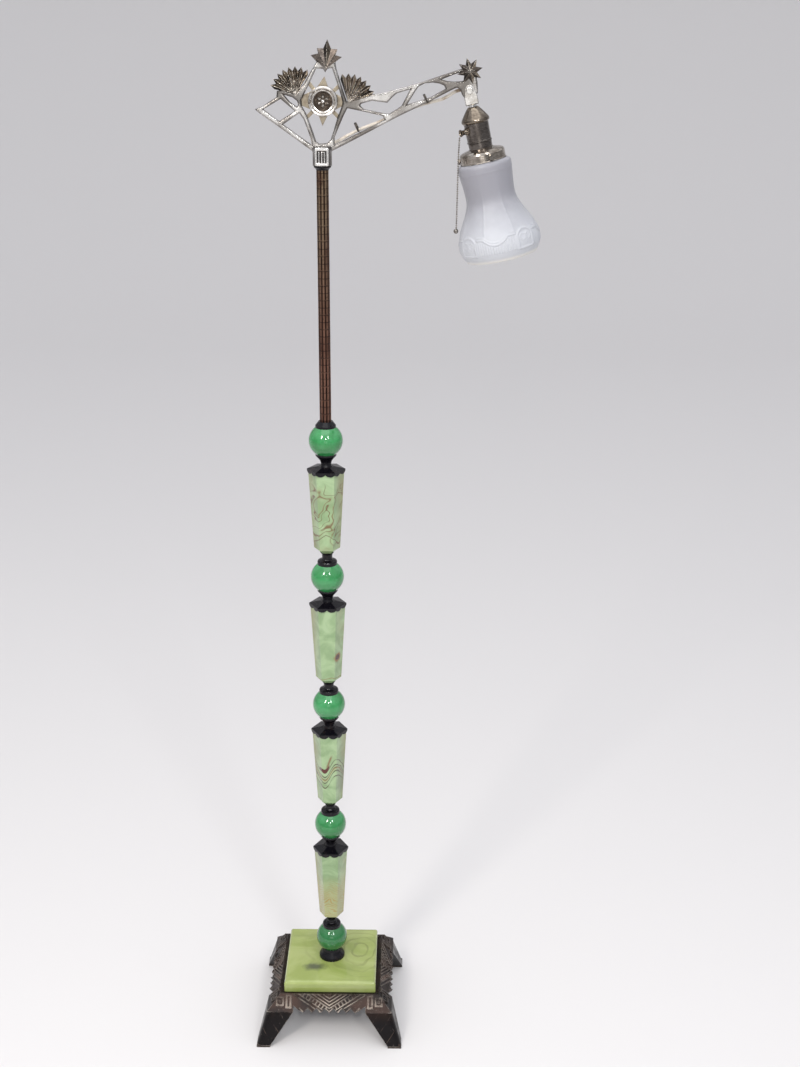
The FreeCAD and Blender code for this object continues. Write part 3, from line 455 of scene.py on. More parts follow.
def black_patina():
    """Near-black spools and caps with thin brown patches at random."""
    p = Paint("black_patina", Specular_IOR_Level=0.3)
    cloud = p.noise(75.0, 4.0, 0.6)
    fine = p.noise(420.0, 3.0)
    color = p.mix(p.remap(cloud, 0.56, 0.74), (0.0035, 0.003, 0.005), (0.016, 0.009, 0.008))
    color = p.mix(p.remap(fine, 0.66, 0.76), color, (0.030, 0.024, 0.022))
    return p.done(color, p.remap(cloud, 0.3, 0.7, 0.16, 0.30), p.bump(fine, 0.0002, 0.3))


REED_FOOT_R, REED_CREST_R = 0.0079, 0.0087
CUT_STEP = 0.0052           # half the distance between two cuts across the reeds
CUT_HALF = 0.0013


def tube_bronze():
    """Reeded tube: dark copper bronze with a painted highlight on the crests and painted shade in the
    grooves, and small cuts across the reeds with painted shadow in them.
    """
    p = Paint("tube_bronze", Metallic=0.85)
    x, y, z = p.axes(p.place)
    out = p.length(x, y)
    # Painted highlight and shade along the reeds: bronze on the crests, near black in the grooves.
    crest_light = p.remap(out, REED_FOOT_R, REED_CREST_R)
    cloud = p.noise(45.0, 4.0, 0.65, vector=p.stretched((1.0, 1.0, 0.35)))
    golden = p.mix(p.remap(z, 1.12, 1.34), (0.215, 0.110, 0.076), (0.235, 0.165, 0.105))
    color = p.mix(crest_light, (0.020, 0.009, 0.006), golden)
    color = p.mix(p.remap(cloud, 0.42, 0.68), color, (0.062, 0.028, 0.019))
    cut = p.remap(p.math("PINGPONG", z, CUT_STEP), 0.0, CUT_HALF, 1.0, 0.0)
    shadow = p.times(cut, p.remap(cloud, 0.3, 0.5, 0.35, 0.85))
    color = p.mix(shadow, color, (0.016, 0.009, 0.007))
    pits = p.remap(p.noise(300.0, 2.0), 0.60, 0.72)
    color = p.mix(p.times(pits, 0.6), color, (0.014, 0.010, 0.009))
    rough = p.remap(cloud, 0.3, 0.7, 0.26, 0.44)
    return p.done(color, rough, p.bump(cut, 0.0003, 0.5))


APRON_FACE = 0.1606         # the larger of |x| and |y|, plus z, on the aprons' ground
RELIEF_FACE = 0.1624        # the same on what stands proud of it
APRON_FRONT = -0.100
LEG_HIGH, LEG_LOW = 0.066, 0.034
SCORE_STEP = 0.0105         # half the distance between the legs' scored lines


def base_bronze():
    """Antiqued casting: brown-black, with tan rubbed on its edges and on what stands proud, both
    painted brighter on the front than on the other sides as painted light.
    """
    p = Paint("base_bronze", Metallic=0.75)
    x, y, z = p.axes(p.place)
    across = p.math("MAXIMUM", p.math("ABSOLUTE", x), p.math("ABSOLUTE", y))
    height = p.plus(across, z)
    proud = p.remap(height, APRON_FACE, RELIEF_FACE)
    cloud = p.noise(70.0, 5.0, 0.65)
    patchy = p.remap(cloud, 0.36, 0.58, 0.25, 1.0)
    # Painted light: the front apron is made brighter than the sides and back.
    front = p.remap(y, APRON_FRONT, APRON_FRONT + 0.015, 1.0, 0.30)
    legs = p.remap(z, LEG_LOW, LEG_HIGH, 1.0, 0.0)
    mottled = p.remap(p.noise(30.0, 4.0), 0.35, 0.65)
    color = p.mix(mottled, (0.034, 0.019, 0.014), (0.010, 0.0075, 0.007))
    tan = p.times(p.times(proud, patchy), front)
    color = p.mix(tan, color, (0.60, 0.50, 0.41))
    color = p.mix(legs, color, (0.012, 0.010, 0.0105))
    least = p.math("MINIMUM", p.math("ABSOLUTE", x), p.math("ABSOLUTE", y))
    slant = p.minus(p.times(least, 0.95), p.times(z, 0.62))
    scored = p.remap(p.math("PINGPONG", slant, SCORE_STEP), 0.0, 0.0009, 1.0, 0.0)
    scored = p.times(scored, p.remap(p.noise(55.0, 3.0), 0.45, 0.62))
    color = p.mix(p.times(p.times(scored, legs), 0.7), color, (0.17, 0.125, 0.10))
    edges, rounded = p.edges(0.0015, 0.82, 0.99)
    rub_and_sheen = p.times(edges, p.remap(cloud, 0.38, 0.56, 0.15, 0.95))
    # Rubbed edges, brighter on the front as painted light.
    color = p.mix(p.times(rub_and_sheen, front), color, (0.62, 0.55, 0.48))
    scratch = p.noise(40.0, 3.0, vector=p.stretched((9.0, 9.0, 2.0)))
    color = p.mix(p.remap(scratch, 0.66, 0.74, 0.0, 0.45), color, (0.20, 0.17, 0.15))
    return p.done(color, p.remap(cloud, 0.3, 0.7, 0.25, 0.46), p.bump(cloud, 0.0006, 0.35, rounded))


# --- glass ---------------------------------------------------------------------------------------
def jade_glass():
    """Opaque jade glass: cloudy green, with painted shade on the underside of each ball and on the
    balls lower down the pole.
    """
    p = Paint("jade_glass", Roughness=0.06, IOR=1.5, Coat_Weight=0.5, Coat_Roughness=0.03,
              Subsurface_Weight=0.2, Subsurface_Radius=(0.004, 0.012, 0.005))
    cloud = p.noise(28.0, 4.0, 0.55, 0.6)
    color = p.mix(p.remap(cloud, 0.35, 0.68), (0.024, 0.200, 0.052), (0.055, 0.305, 0.106))
    # Painted shade: darker where the surface faces down.
    below = p.remap(p.axes(p.normal)[2], -0.75, 0.15, 1.0, 0.0)
    color = p.mix(p.times(below, 0.5), color, (0.013, 0.115, 0.028))
    # Painted shade: darker on the balls low on the pole, where less light falls.
    low = p.remap(p.axes(p.place)[2], 0.12, 0.45, 0.75, 0.0)
    color = p.mix(low, color, (0.012, 0.120, 0.030))
    specks = p.remap(p.cells(260.0), 0.0, 0.16, 1.0, 0.0)
    color = p.mix(p.times(specks, 0.25), color, (0.13, 0.42, 0.20))
    return p.done(color, None, p.bump(p.noise(60.0, 2.0), 0.0002, 0.15))


def polished_glass(name):
    return Paint(name, Roughness=0.12, IOR=1.5, Coat_Weight=0.5, Coat_Roughness=0.05)


def slag(p):
    """The celadon ground of the columns, milky with a tan cast towards the edges."""
    cloud = p.noise(34.0, 4.0, 0.55, 0.8)
    color = p.mix(p.remap(cloud, 0.34, 0.66), (0.210, 0.318, 0.148), (0.330, 0.455, 0.245))
    side = p.math("ABSOLUTE", p.axes(p.place)[0])
    tan_side = p.times(p.remap(side, 0.011, 0.024), p.remap(p.noise(22.0), 0.3, 0.6))
    return p.mix(p.times(tan_side, 0.6), color, (0.265, 0.225, 0.095))


def cast_surface(p, color, scale=55.0):
    """The finished material, with the faint unevenness of poured glass."""
    return p.done(color, None, p.bump(p.noise(scale, 2.0), 0.0003, 0.12))


def within(p, low, high, soft=0.008):
    """1 between two heights, fading over a soft edge."""
    z = p.axes(p.place)[2]
    above = p.remap(z, low - soft, low + soft)
    below = p.remap(z, high - soft, high + soft, 1.0, 0.0)
    return p.times(above, below)


def wander(p, scale, reach):
    """Noise about zero, to bend a pattern by."""
    return p.times(p.minus(p.noise(scale, 2.0), 0.5), reach)


def folded(p, middle, width, slope, reach, scale):
    """Height measured from a zigzag that runs across the column, bent by noise."""
    x, y, z = p.axes(p.place)
    drift = wander(p, scale, reach)
    across = p.plus(x, p.times(drift, 0.6))
    zigzag = p.math("PINGPONG", p.minus(across, middle), width)
    rise = p.times(zigzag, slope)
    return p.plus(p.minus(z, rise), drift)


def veins(p, field, start, spacings, width):
    """Thin contour lines of a field, at the given steps below its start."""
    total = 0.0
    at = start
    for step in spacings:
        at -= step
        total = p.math("MAXIMUM", p.line(field, at, width), total)
    return total


def column_middle(number):
    low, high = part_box("column_%d" % number)
    return (low.z + high.z) / 2


def column_top_glass():
    """Uppermost column: a few long brown veins that wander over the whole face."""
    p = polished_glass("column_vein_glass")
    middle = column_middle(4)
    color = slag(p)
    field = p.noise(15.0, 2.0, 0.45, 0.9, p.stretched((1.0, 1.0, 1.5)))
    strength = p.remap(p.noise(26.0, 2.0), 0.34, 0.54, 0.15, 1.0)
    lines = p.math("MAXIMUM", p.line(field, 0.54, 0.017), p.line(field, 0.47, 0.013))
    band = within(p, middle - 0.05, middle + 0.045)
    color = p.mix(p.times(p.times(lines, strength), band), color, (0.105, 0.045, 0.010))
    halo = p.times(p.line(field, 0.545, 0.050), strength)
    color = p.mix(p.times(halo, 0.3), color, (0.22, 0.17, 0.075))
    zigzag = folded(p, -0.020, 0.019, 0.8, 0.016, 40.0)
    low_line = p.line(zigzag, middle - 0.048, 0.0016)
    color = p.mix(p.times(low_line, 0.85), color, (0.10, 0.05, 0.02))
    smoke = p.times(p.remap(p.noise(18.0, 3.0), 0.45, 0.7),
                    within(p, middle + 0.02, middle + 0.07, 0.02))
    color = p.mix(p.times(smoke, 0.6), color, (0.24, 0.215, 0.11))
    return cast_surface(p, color)


def column_plain_glass():
    """Second column from the top: nearly plain, with one dark spot and one line low down."""
    p = polished_glass("column_plain_glass")
    middle = column_middle(3)
    color = slag(p)
    off_spot = p.vector_math("DISTANCE", p.place, (0.0150, -0.0130, middle - 0.019))
    ragged = p.plus(off_spot, p.times(p.noise(160.0, 2.0), 0.006))
    color = p.mix(p.remap(ragged, 0.0080, 0.0135, 0.95, 0.0), color, (0.21, 0.10, 0.02))
    color = p.mix(p.remap(ragged, 0.0062, 0.0092, 1.0, 0.0), color, (0.060, 0.012, 0.006))
    zigzag = folded(p, 0.006, 0.030, -0.25, 0.010, 30.0)
    low_line = p.line(zigzag, middle - 0.052, 0.0013)
    color = p.mix(p.times(low_line, 0.8), color, (0.20, 0.12, 0.04))
    return cast_surface(p, color)


WAVE_HALF = 0.0185          # half a wave's length across the column
WAVE_RISE = 0.0125


def column_wave_glass():
    """Third column: broad waves of dark line and one deep red-brown fold with a tail."""
    p = polished_glass("column_wave_glass")
    middle = column_middle(2)
    color = slag(p)
    x, y, z = p.axes(p.place)
    drift = wander(p, 34.0, 0.013)
    across = p.plus(p.plus(x, p.times(y, 0.25)), p.times(drift, 0.6))
    swell = p.math("COSINE", p.times(p.plus(across, 0.0115), pi / WAVE_HALF))
    waves = p.plus(p.plus(z, p.times(swell, WAVE_RISE)), drift)
    lines = veins(p, waves, middle + 0.011, (0.0, 0.0085, 0.0048, 0.0062, 0.0095), 0.0018)
    band = within(p, middle - 0.046, middle + 0.022, 0.006)
    uneven = p.remap(p.noise(45.0, 2.0), 0.32, 0.50, 0.30, 1.0)
    color = p.mix(p.times(p.times(lines, band), uneven), color, (0.050, 0.024, 0.014))
    amber = p.times(p.line(waves, middle - 0.0035, 0.0042), band)
    color = p.mix(p.times(amber, 0.45), color, (0.30, 0.16, 0.05))
    fold = p.times(p.line(waves, middle + 0.0145, 0.0066), p.line(x, -0.0075, 0.0125))
    color = p.mix(p.remap(fold, 0.12, 0.40), color, (0.080, 0.010, 0.005))
    tail = p.minus(x, p.times(p.minus(z, middle + 0.010), 0.30))
    tail = p.plus(tail, p.times(drift, 0.5))
    flame = p.times(p.line(tail, -0.0015, 0.0030),
                    within(p, middle + 0.007, middle + 0.028, 0.004))
    color = p.mix(p.times(flame, 0.85), color, (0.17, 0.06, 0.018))
    smoke = p.times(p.remap(p.noise(20.0, 3.0), 0.45, 0.7), p.remap(x, 0.004, 0.018))
    color = p.mix(p.times(smoke, 0.5), color, (0.145, 0.16, 0.11))
    return cast_surface(p, color)


def column_amber_glass():
    """Lowest column: pale above, fine amber swirls in the lower half."""
    p = polished_glass("column_amber_glass")
    middle = column_middle(1)
    color = slag(p)
    field = folded(p, -0.004, 0.022, -0.5, 0.030, 34.0)
    rings = p.math("SINE", p.times(field, 1450.0))
    low = p.remap(p.axes(p.place)[2], middle - 0.02, middle + 0.030, 1.0, 0.0)
    tint = p.times(p.remap(rings, 0.1, 1.0), low)
    tint = p.times(tint, p.remap(p.noise(50.0, 2.0), 0.35, 0.6, 0.2, 0.85))
    color = p.mix(p.times(low, 0.55), color, (0.40, 0.34, 0.145))
    color = p.mix(tint, color, (0.34, 0.20, 0.05))
    return cast_surface(p, color)


SLAB_RINGS = [              # middle (x, y), waves in radians per metre, reach, weight
    ((0.046, 0.008), 520.0, 0.085, 0.46),
    ((-0.012, 0.020), 250.0, 0.050, 0.35),
]


def slab_glass():
    """Yellow-green slab: soft dark rings to the right, long streaks, a smudge front left."""
    p = polished_glass("slab_glass")
    cloud = p.noise(14.0, 4.0, 0.55, 0.8)
    color = p.mix(p.remap(cloud, 0.35, 0.65), (0.300, 0.362, 0.100), (0.395, 0.445, 0.165))
    x, y, z = p.axes(p.place)
    drift = p.plus(wander(p, 13.0, 0.046), wander(p, 60.0, 0.006))
    for (middle_x, middle_y), waves, reach, weight in SLAB_RINGS:
        far = p.length(p.minus(x, middle_x), p.times(p.minus(y, middle_y), 0.8))
        wave = p.math("SINE", p.times(p.plus(far, drift), waves))
        near = p.remap(far, 0.010, reach, 1.0, 0.0)
        tint = p.times(p.remap(wave, 0.45, 1.0), near)
        tint = p.times(tint, p.remap(p.noise(38.0, 2.0), 0.34, 0.60, 0.30, 1.0))
        color = p.mix(p.times(tint, weight), color, (0.145, 0.150, 0.050))
    streak = p.noise(10.0, 3.0, 0.55, 0.5, p.stretched((1.0, 3.4, 1.0)))
    color = p.mix(p.remap(streak, 0.50, 0.75, 0.0, 0.28), color, (0.16, 0.20, 0.06))
    off_smudge = p.length(p.times(p.plus(x, 0.026), 0.55), p.plus(y, 0.034))
    ragged = p.plus(off_smudge, p.times(p.noise(90.0, 3.0), 0.014))
    color = p.mix(p.remap(ragged, 0.009, 0.021, 0.9, 0.0), color, (0.075, 0.085, 0.048))
    return cast_surface(p, color, 40.0)


def frosted_glass(axis_at, axis_down):
    """Satin shade: lilac-grey high up, paler towards the bell, with a fine acid-etched grain."""
    p = Paint("frosted_glass", Roughness=0.48, IOR=1.5, Subsurface_Weight=0.2,
              Subsurface_Radius=(0.006, 0.006, 0.007), Sheen_Weight=0.1)
    depth = p.minus(p.vector_math("DOT_PRODUCT", p.place, axis_down), axis_at.dot(axis_down))
    cloud = p.noise(24.0, 3.0)
    low = p.plus(depth, p.times(p.minus(cloud, 0.5), 0.04))
    color = p.mix(p.remap(low, 0.136, 0.206), (0.262, 0.258, 0.284), (0.485, 0.494, 0.522))
    color = p.mix(p.remap(low, 0.085, 0.112, 0.7, 0.0), color, (0.33, 0.33, 0.355))
    color = p.mix(p.remap(depth, 0.2225, 0.2275, 0.0, 0.8), color, (0.70, 0.67, 0.62))
    grain = p.noise(900.0, 2.0)
    return p.done(color, None, p.bump(grain, 0.0002, 0.35, p.bump(cloud, 0.001, 0.15)))


def bulb_frost():
    p = Paint("bulb_frost", Roughness=0.4)
    cloud = p.noise(60.0, 2.0)
    color = p.mix(p.remap(cloud, 0.35, 0.65), (0.80, 0.80, 0.79), (0.88, 0.88, 0.86))
    return p.done(color, None, p.bump(p.noise(800.0), 0.0001, 0.3))


def porcelain():
    p = Paint("porcelain", Roughness=0.2)
    cloud = p.noise(80.0, 3.0)
    return p.done(p.mix(p.remap(cloud, 0.4, 0.7), (0.80, 0.78, 0.73), (0.70, 0.67, 0.60)))


# --- felt, lead and plastic ----------------------------------------------------------------------
def felt():
    p = Paint("felt", Roughness=0.95, Sheen_Weight=0.4)
    fibre = p.noise(1400.0, 3.0, 0.7)
    color = p.mix(p.remap(fibre, 0.35, 0.65), (0.030, 0.055, 0.032), (0.075, 0.11, 0.07))
    return p.done(color, None, p.bump(fibre, 0.0005, 0.7))


def lead_cover():
    """Old cream lead, brown in random patches, with a fine braid."""
    p = Paint("lead_cover", Roughness=0.62)
    brown_patches = p.noise(38.0, 4.0, 0.6)
    color = p.mix(p.remap(brown_patches, 0.48, 0.66), (0.72, 0.66, 0.57), (0.30, 0.20, 0.12))
    x, y, z = p.axes(p.place)
    braid = p.math("SINE", p.times(p.plus(x, p.plus(y, z)), 3800.0))
    color = p.mix(p.remap(braid, 0.3, 1.0, 0.0, 0.25), color, (0.22, 0.16, 0.11))
    return p.done(color, None, p.bump(braid, 0.0002, 0.5))


def dark_plastic():
    p = Paint("dark_plastic", Roughness=0.45)
    cloud = p.noise(200.0, 3.0)
    color = p.mix(p.remap(cloud, 0.35, 0.65), (0.028, 0.02, 0.015), (0.05, 0.036, 0.028))
    return p.done(color, None, p.bump(p.noise(900.0), 0.0002, 0.4))


# --- glass shade ---------------------------------------------------------------------------------
SHADE_AXIS_TILT = 13.0      # degrees from plumb
SHADE_SIDES = 8
SHADE_AROUND = 320
# Profiles as (radius, depth), depth measured from the pivot along the shade's axis.
SHADE_NECK = [
    (0.0246, 0.0944), (0.0246, 0.0859), (0.0254, 0.0853), (0.0279, 0.0853), (0.0285, 0.0860),
    (0.0285, 0.0872), (0.0274, 0.0882), (0.0274, 0.0932)]
SHADE_BODY = [
    (0.0290, 0.0954), (0.0336, 0.0962), (0.0370, 0.0986), (0.0380, 0.1030), (0.0376, 0.1100),
    (0.0366, 0.1200), (0.0355, 0.1320), (0.0351, 0.1420), (0.0360, 0.1505), (0.0386, 0.1580),
    (0.0428, 0.1670), (0.0484, 0.1770), (0.0530, 0.1860), (0.0562, 0.1960), (0.0574, 0.2060),
    (0.0568, 0.2150), (0.0542, 0.2225), (0.0502, 0.2286)]
BODY_FROM = 0.0950          # the neck, above this depth, is plainly round
SHADE_T = 0.0030
BODY_CUTS = 9               # steps to each stretch of the body's outer profile
SHOULDER = 0.1085
PANELS_FROM, PANELS_TO = 0.097, 0.232
ORNAMENT_MIDDLE = 0.2025
ORNAMENT_TURN = radians(38)
ORNAMENT_RISE = 0.0015
RIDGE_RISE = 0.0005
CLEAR_OF_CAD = 0.0003       # the ground between the ornament lies this far in
SHIELD_HALF = 14.0          # millimetres from here, as in shield() and swag()
SHIELD_FOOT = -14.6
SHIELD_TOP = 13.6
SHIELD_ROOM = 15.0
SWAG_FOOT = -15.0
FLUTE_STEP = 3.6


def rounded_profile(points, cuts):
    """A profile through the points by Catmull-Rom, each stretch cut into equal steps."""
    out = []
    for k in range(len(points) - 1):
        p0 = Vector(points[max(k - 1, 0)])
        p1 = Vector(points[k])
        p2 = Vector(points[k + 1])
        p3 = Vector(points[min(k + 2, len(points) - 1)])
        for n in range(cuts):
            t = n / cuts
            bend = (p2 - p0) * t + (p0 * 2 - p1 * 5 + p2 * 4 - p3) * t * t
            bend += (p1 * 3 - p0 - p2 * 3 + p3) * t ** 3
            out.append(p1 + bend / 2)
    out.append(Vector(points[-1]))
    return out


def panel_scale(angle, depth):
    """The body is softly eight-sided between its shoulder and the round bell."""
    strength = smoothstep(PANELS_FROM, 0.108, depth) * smoothstep(PANELS_TO, 0.165, depth)
    strength = 0.11 * strength + 0.05 * smoothstep(0.165, 0.19, depth)
    step = 2 * pi / SHADE_SIDES
    local = (angle + step / 2) % step - step / 2
    return 1 - strength * (1 - cos(step / 2) / cos(local))


def shield(x, z):
    """Arched shield with a raised border, a stem and two curls, in millimetres from its middle."""
    top = SHIELD_TOP - 0.042 * x * x
    if abs(x) > SHIELD_ROOM or z < SHIELD_FOOT - 0.9 or z > top + 2.0:
        return 0.0
    edge = min(SHIELD_HALF - abs(x), z - SHIELD_FOOT, top - z)
    border = smoothstep(0.0, 1.0, edge + 1.0) * smoothstep(3.2, 1.9, edge)
    stem = smoothstep(1.8, 0.7, abs(x)) * smoothstep(8.0, 5.5, abs(z + 1))
    curl = smoothstep(1.8, 0.6, abs(sqrt((abs(x) - 4.8) ** 2 + (z - 1.5) ** 2) - 4.3))
    inside = smoothstep(1.9, 3.4, edge)
    return max(0.9 * border, 0.65 * inside * max(stem, curl), 0.25 * inside)


def swag(x, z, span):
    """Garland hung between two shields, level at its ends, over a row of upright flutes."""
    t = min(abs(x) / (0.62 * span), 1.0)
    sag = 8.0 - 9.0 * (1 - t * t)
    rope = smoothstep(1.9, 0.6, abs(z - sag)) * (0.85 + 0.15 * cos(x * 2.4))
    second = smoothstep(1.2, 0.4, abs(z - sag - 3.2))
    flutes = 0.0
    if z < sag - 2.6:
        flutes = smoothstep(SWAG_FOOT, SWAG_FOOT + 2.5, z)
        flutes *= 0.5 + 0.5 * cos(x * 2 * pi / FLUTE_STEP)
    return max(rope, 0.5 * second, 0.75 * flutes)


def relief(angle, depth, radius):
    """Height in metres of the pressed ornament over the bell, and of the ridges above it."""
    quarter = pi / 2
    around_mm = radius * 1000
    local = (angle - ORNAMENT_TURN + quarter / 2) % quarter - quarter / 2
    x = local * around_mm
    z = (ORNAMENT_MIDDLE - depth) * 1000
    fade = smoothstep(0.182, 0.188, depth) * smoothstep(0.2235, 0.2185, depth)
    half = quarter / 2 * around_mm
    hung = 0.0
    if abs(x) > SHIELD_ROOM:
        hung = swag(half - abs(x), z, half - SHIELD_ROOM)
    raised = max(shield(x, z), hung)
    corner_step = 2 * pi / SHADE_SIDES
    to_corner = abs((angle % corner_step) - corner_step / 2) * around_mm
    ridge = smoothstep(2.6, 0.4, to_corner)
    ridge *= smoothstep(0.128, 0.158, depth) * smoothstep(0.196, 0.186, depth)
    shoulder = smoothstep(1.8, 0.5, abs(depth - SHOULDER) * 1000) * 0.5
    return ORNAMENT_RISE * raised * fade + RIDGE_RISE * max(ridge, shoulder)


def shade_axis():
    """The pivot and the direction that the head hangs in, with two directions square to it."""
    pivot = Vector(joints["shade_tilt"]["pos_m"])
    tilt = radians(SHADE_AXIS_TILT)
    down = Vector((sin(tilt), 0, -cos(tilt)))
    side = Vector((cos(tilt), 0, sin(tilt)))
    return pivot, down, side, Vector((0, 1, 0))


def make_shade():
    pivot, down, side, rear = shade_axis()
    body = rounded_profile(SHADE_BODY, BODY_CUTS)
    outer = [Vector(p) for p in SHADE_NECK] + body
    inner = []
    for k in range(len(body) - 1, -1, -2):
        along_body = body[min(k + 1, len(body) - 1)] - body[max(k - 1, 0)]
        square_in = Vector((-along_body.y, along_body.x)).normalized()
        inner.append(body[k] + square_in * SHADE_T)
    rows = outer + inner
    first_inner = len(outer)
    verts = []
    for row, (radius, depth) in enumerate(rows):
        for j in range(SHADE_AROUND):
            angle = 2 * pi * j / SHADE_AROUND
            reach = radius
            if depth > BODY_FROM:
                reach = radius * panel_scale(angle, depth)
            if len(SHADE_NECK) <= row < first_inner:
                reach += relief(angle, depth, radius) - CLEAR_OF_CAD
            verts.append(pivot + down * depth + (side * cos(angle) + rear * sin(angle)) * reach)
    shade = mesh_object("frosted_shade", verts, ring_faces(len(rows), SHADE_AROUND))
    shade.data.materials.append(frosted_glass(pivot, down))
    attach(shade, "head")
    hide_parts("glass_shade")


# --- lead clips on the arm -----------------------------------------------------------------------
CLIPS = [(0.0480, 1.4445), (0.1420, 1.4825)]
CLIP_FRONT, CLIP_BACK = -0.0046, 0.0098
CLIP_HALF_TALL = 0.0062
CLIP_AROUND = 28
CLIP_SECTION = [(-0.0016, 0.0), (-0.0011, 0.0006), (0.0011, 0.0006), (0.0016, 0.0)]
ALONG_STRUT = Vector((0.900, 0, 0.436))
UP_STRUT = Vector((-0.436, 0, 0.900))


def make_clips():
    """Thin straps right round the lower strut and the lead behind it."""
    paint = dark_nickel("clip_nickel", 0.30, 0.75)
    half_deep = (CLIP_BACK - CLIP_FRONT) / 2
    for number, (x, z) in enumerate(CLIPS, 1):
        middle = Vector((x, (CLIP_FRONT + CLIP_BACK) / 2, z))
        verts = []
        for k in range(CLIP_AROUND):
            a = 2 * pi * k / CLIP_AROUND
            squarish = 1 / (cos(a) ** 4 + sin(a) ** 4) ** 0.25
            rear = Vector((0, cos(a) * half_deep * squarish, 0))
            point = middle + rear + UP_STRUT * sin(a) * CLIP_HALF_TALL * squarish
            out = (point - middle).normalized()
            for width, rise in CLIP_SECTION:
                verts.append(point + ALONG_STRUT * width + out * rise)
        faces = ring_faces(CLIP_AROUND, len(CLIP_SECTION))
        strap = mesh_object("lead_clip_%d" % number, verts, faces)
        strap.data.materials.append(paint)
        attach(strap, "arm")


# --- CAD nodes' materials ------------------------------------------------------------------------
def numbered(name, count):
    return ["%s_%d" % (name, k) for k in range(1, count + 1)]


def dress_nodes():
    """Give every shown CAD node its procedural material."""
    outfit = [
        (base_bronze(), ["base_casting"]),
        (felt(), ["slab_felt"]),
        (slab_glass(), ["glass_slab"]),
        (dark_plastic(), ["cord_bushing", "foot_pads"]),
        (steel(), ["bottom_fixings", "centre_pipe"]),
        (black_patina(), ["foot_disc", "tube_flange", "swivel_collar"] + numbered("lower_spool", 4)
         + numbered("upper_spool", 4) + numbered("cap", 4)),
        (jade_glass(), numbered("ball", 5)),
        (column_amber_glass(), ["column_1"]),
        (column_wave_glass(), ["column_2"]),
        (column_plain_glass(), ["column_3"]),
        (column_top_glass(), ["column_4"]),
        (tube_bronze(), ["reeded_tube"]),
        (arm_silver(), ["arm_casting"]),
        (dark_nickel("fan_nickel", 0.02, 0.32), ["arm_fans"]),
        (dark_nickel("star_nickel", 0.30, 0.75), ["finial", "end_star"]),
        (medallion_metal(), ["medallion"]),
        (medal_brass(), ["medallion_plate"]),
        (nickel(), ["knuckle", "knuckle_screw", "nipple"]),
        (antique_nickel("dark_socket", (0.215, 0.190, 0.170), (0.110, 0.094, 0.083), 0.17),
         ["shell_upper", "shell_lower"]),
        (antique_nickel("brown_socket", (0.28, 0.235, 0.185), (0.13, 0.105, 0.082), 0.12),
         ["socket_cap", "chain_guide"]),
        (antique_nickel("pale_socket", (0.54, 0.49, 0.43), (0.30, 0.255, 0.21), 0.09),
         ["shade_holder"] + numbered("holder_screw", 3)),
        (porcelain(), ["socket_insert"]),
        (brass(), ["socket_thread", "bulb_base"]),
        (chain_metal(), ["chain_ball", "switch_stub"]),
        (bulb_frost(), ["bulb_glass"]),
        (lead_cover(), ["pole_lead", "arm_lead", "head_lead"]),
    ]
    for material, names in outfit:
        for name in names:
            data = nodes[name].data
            data.materials.clear()
            data.materials.append(material)


# --- stage and light -----------------------------------------------------------------------------
FLOOR_FRONT = -12.0
WALL_Y = 9.0
COVE_R = 4.0
COVE_CUTS = 12
STAGE_HALF = 12.0
STAGE_TOP = 9.0


def stage_material():
    """Plain pale matt paper, the same all over."""
    return Paint("stage_paper", Roughness=0.85, Base_Color=(0.745, 0.722, 0.708, 1.0)).material


def make_stage():
    """Pale floor that curves up, well behind the lamp, into a pale backdrop."""
    profile = [(FLOOR_FRONT, 0.0), (WALL_Y - COVE_R, 0.0)]
    for k in range(1, COVE_CUTS + 1):
        a = pi / 2 * k / COVE_CUTS
        profile.append((WALL_Y - COVE_R + COVE_R * sin(a), COVE_R - COVE_R * cos(a)))
    profile.append((WALL_Y, STAGE_TOP))
    verts = [(x, y, z) for y, z in profile for x in (-STAGE_HALF, STAGE_HALF)]
    faces = [(2 * k, 2 * k + 1, 2 * k + 3, 2 * k + 2) for k in range(len(profile) - 1)]
    stage = mesh_object("studio_stage", verts, faces)
    stage.data.materials.append(stage_material())


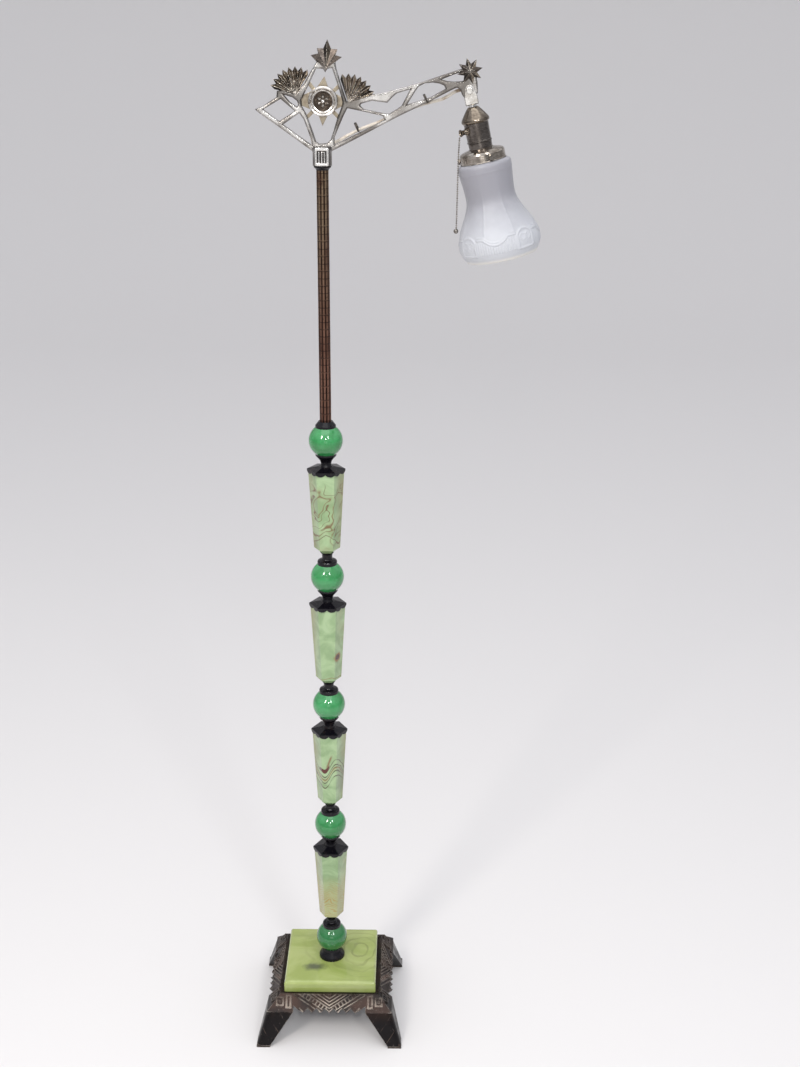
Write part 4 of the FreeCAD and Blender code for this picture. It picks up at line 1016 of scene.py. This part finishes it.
def area_light(name, place, target, width, power, tint, height):
    data = bpy.data.lights.new(name, "AREA")
    data.shape = "RECTANGLE"
    data.size = width
    data.size_y = height
    data.energy = power
    data.color = tint
    light = new_object(name, data)
    aim = (Vector(target) - Vector(place)).to_track_quat("-Z", "Y")
    light.matrix_world = Matrix.Translation(place) @ aim.to_matrix().to_4x4()


LIGHTS = [                  # name, place, target, width, power, tint, height
    ("key_left", (-1.25, -2.3, 2.75), (0.05, 0.1, 0.95), 0.5, 38.0, (1.0, 0.96, 0.91), 1.1),
    ("key_right", (1.0, -2.5, 2.8), (0.05, 0.1, 1.0), 0.4, 22.0, (0.96, 0.98, 1.0), 1.0),
    ("camera_flash", (0.10, -2.15, 1.95), (0.08, 0.0, 0.9), 0.14, 9.0, (1, 1, 1), 0.14),
    ("front_card", (0.05, -3.3, 1.10), (0.05, 0.0, 1.25), 1.3, 3.2, (1.0, 0.99, 0.97), 0.75),
    ("overhead", (0.0, -0.7, 3.2), (0.0, 0.1, 0.6), 2.0, 16.0, (1, 1, 1), 2.0),
]
SKY_LOW, SKY_HIGH = -0.25, 0.65         # height of a direction, from -1 down to 1 up
SKY_DIM, SKY_BRIGHT = 0.15, 0.95


def make_world():
    """A pale sky, dim below the horizon and brighter overhead."""
    world = bpy.data.worlds.new("studio")
    world.use_nodes = True
    tree = world.node_tree
    look = tree.nodes.new("ShaderNodeTexCoord")
    split = tree.nodes.new("ShaderNodeSeparateXYZ")
    fade = tree.nodes.new("ShaderNodeMapRange")
    fade.interpolation_type = "SMOOTHSTEP"
    for socket, number in zip(list(fade.inputs)[1:5], (SKY_LOW, SKY_HIGH, SKY_DIM, SKY_BRIGHT)):
        socket.default_value = number
    tree.links.new(look.outputs["Generated"], split.inputs[0])
    tree.links.new(split.outputs[2], fade.inputs[0])
    sky = tree.nodes["Background"]
    sky.inputs["Color"].default_value = (0.92, 0.94, 1.0, 1.0)
    tree.links.new(fade.outputs[0], sky.inputs["Strength"])
    bpy.context.scene.world = world


make_camera()
make_chain()
dress_nodes()
make_shade()
make_clips()
make_stage()
for light in LIGHTS:
    area_light(*light)
make_world()
bpy.context.scene.view_settings.view_transform = "Standard"
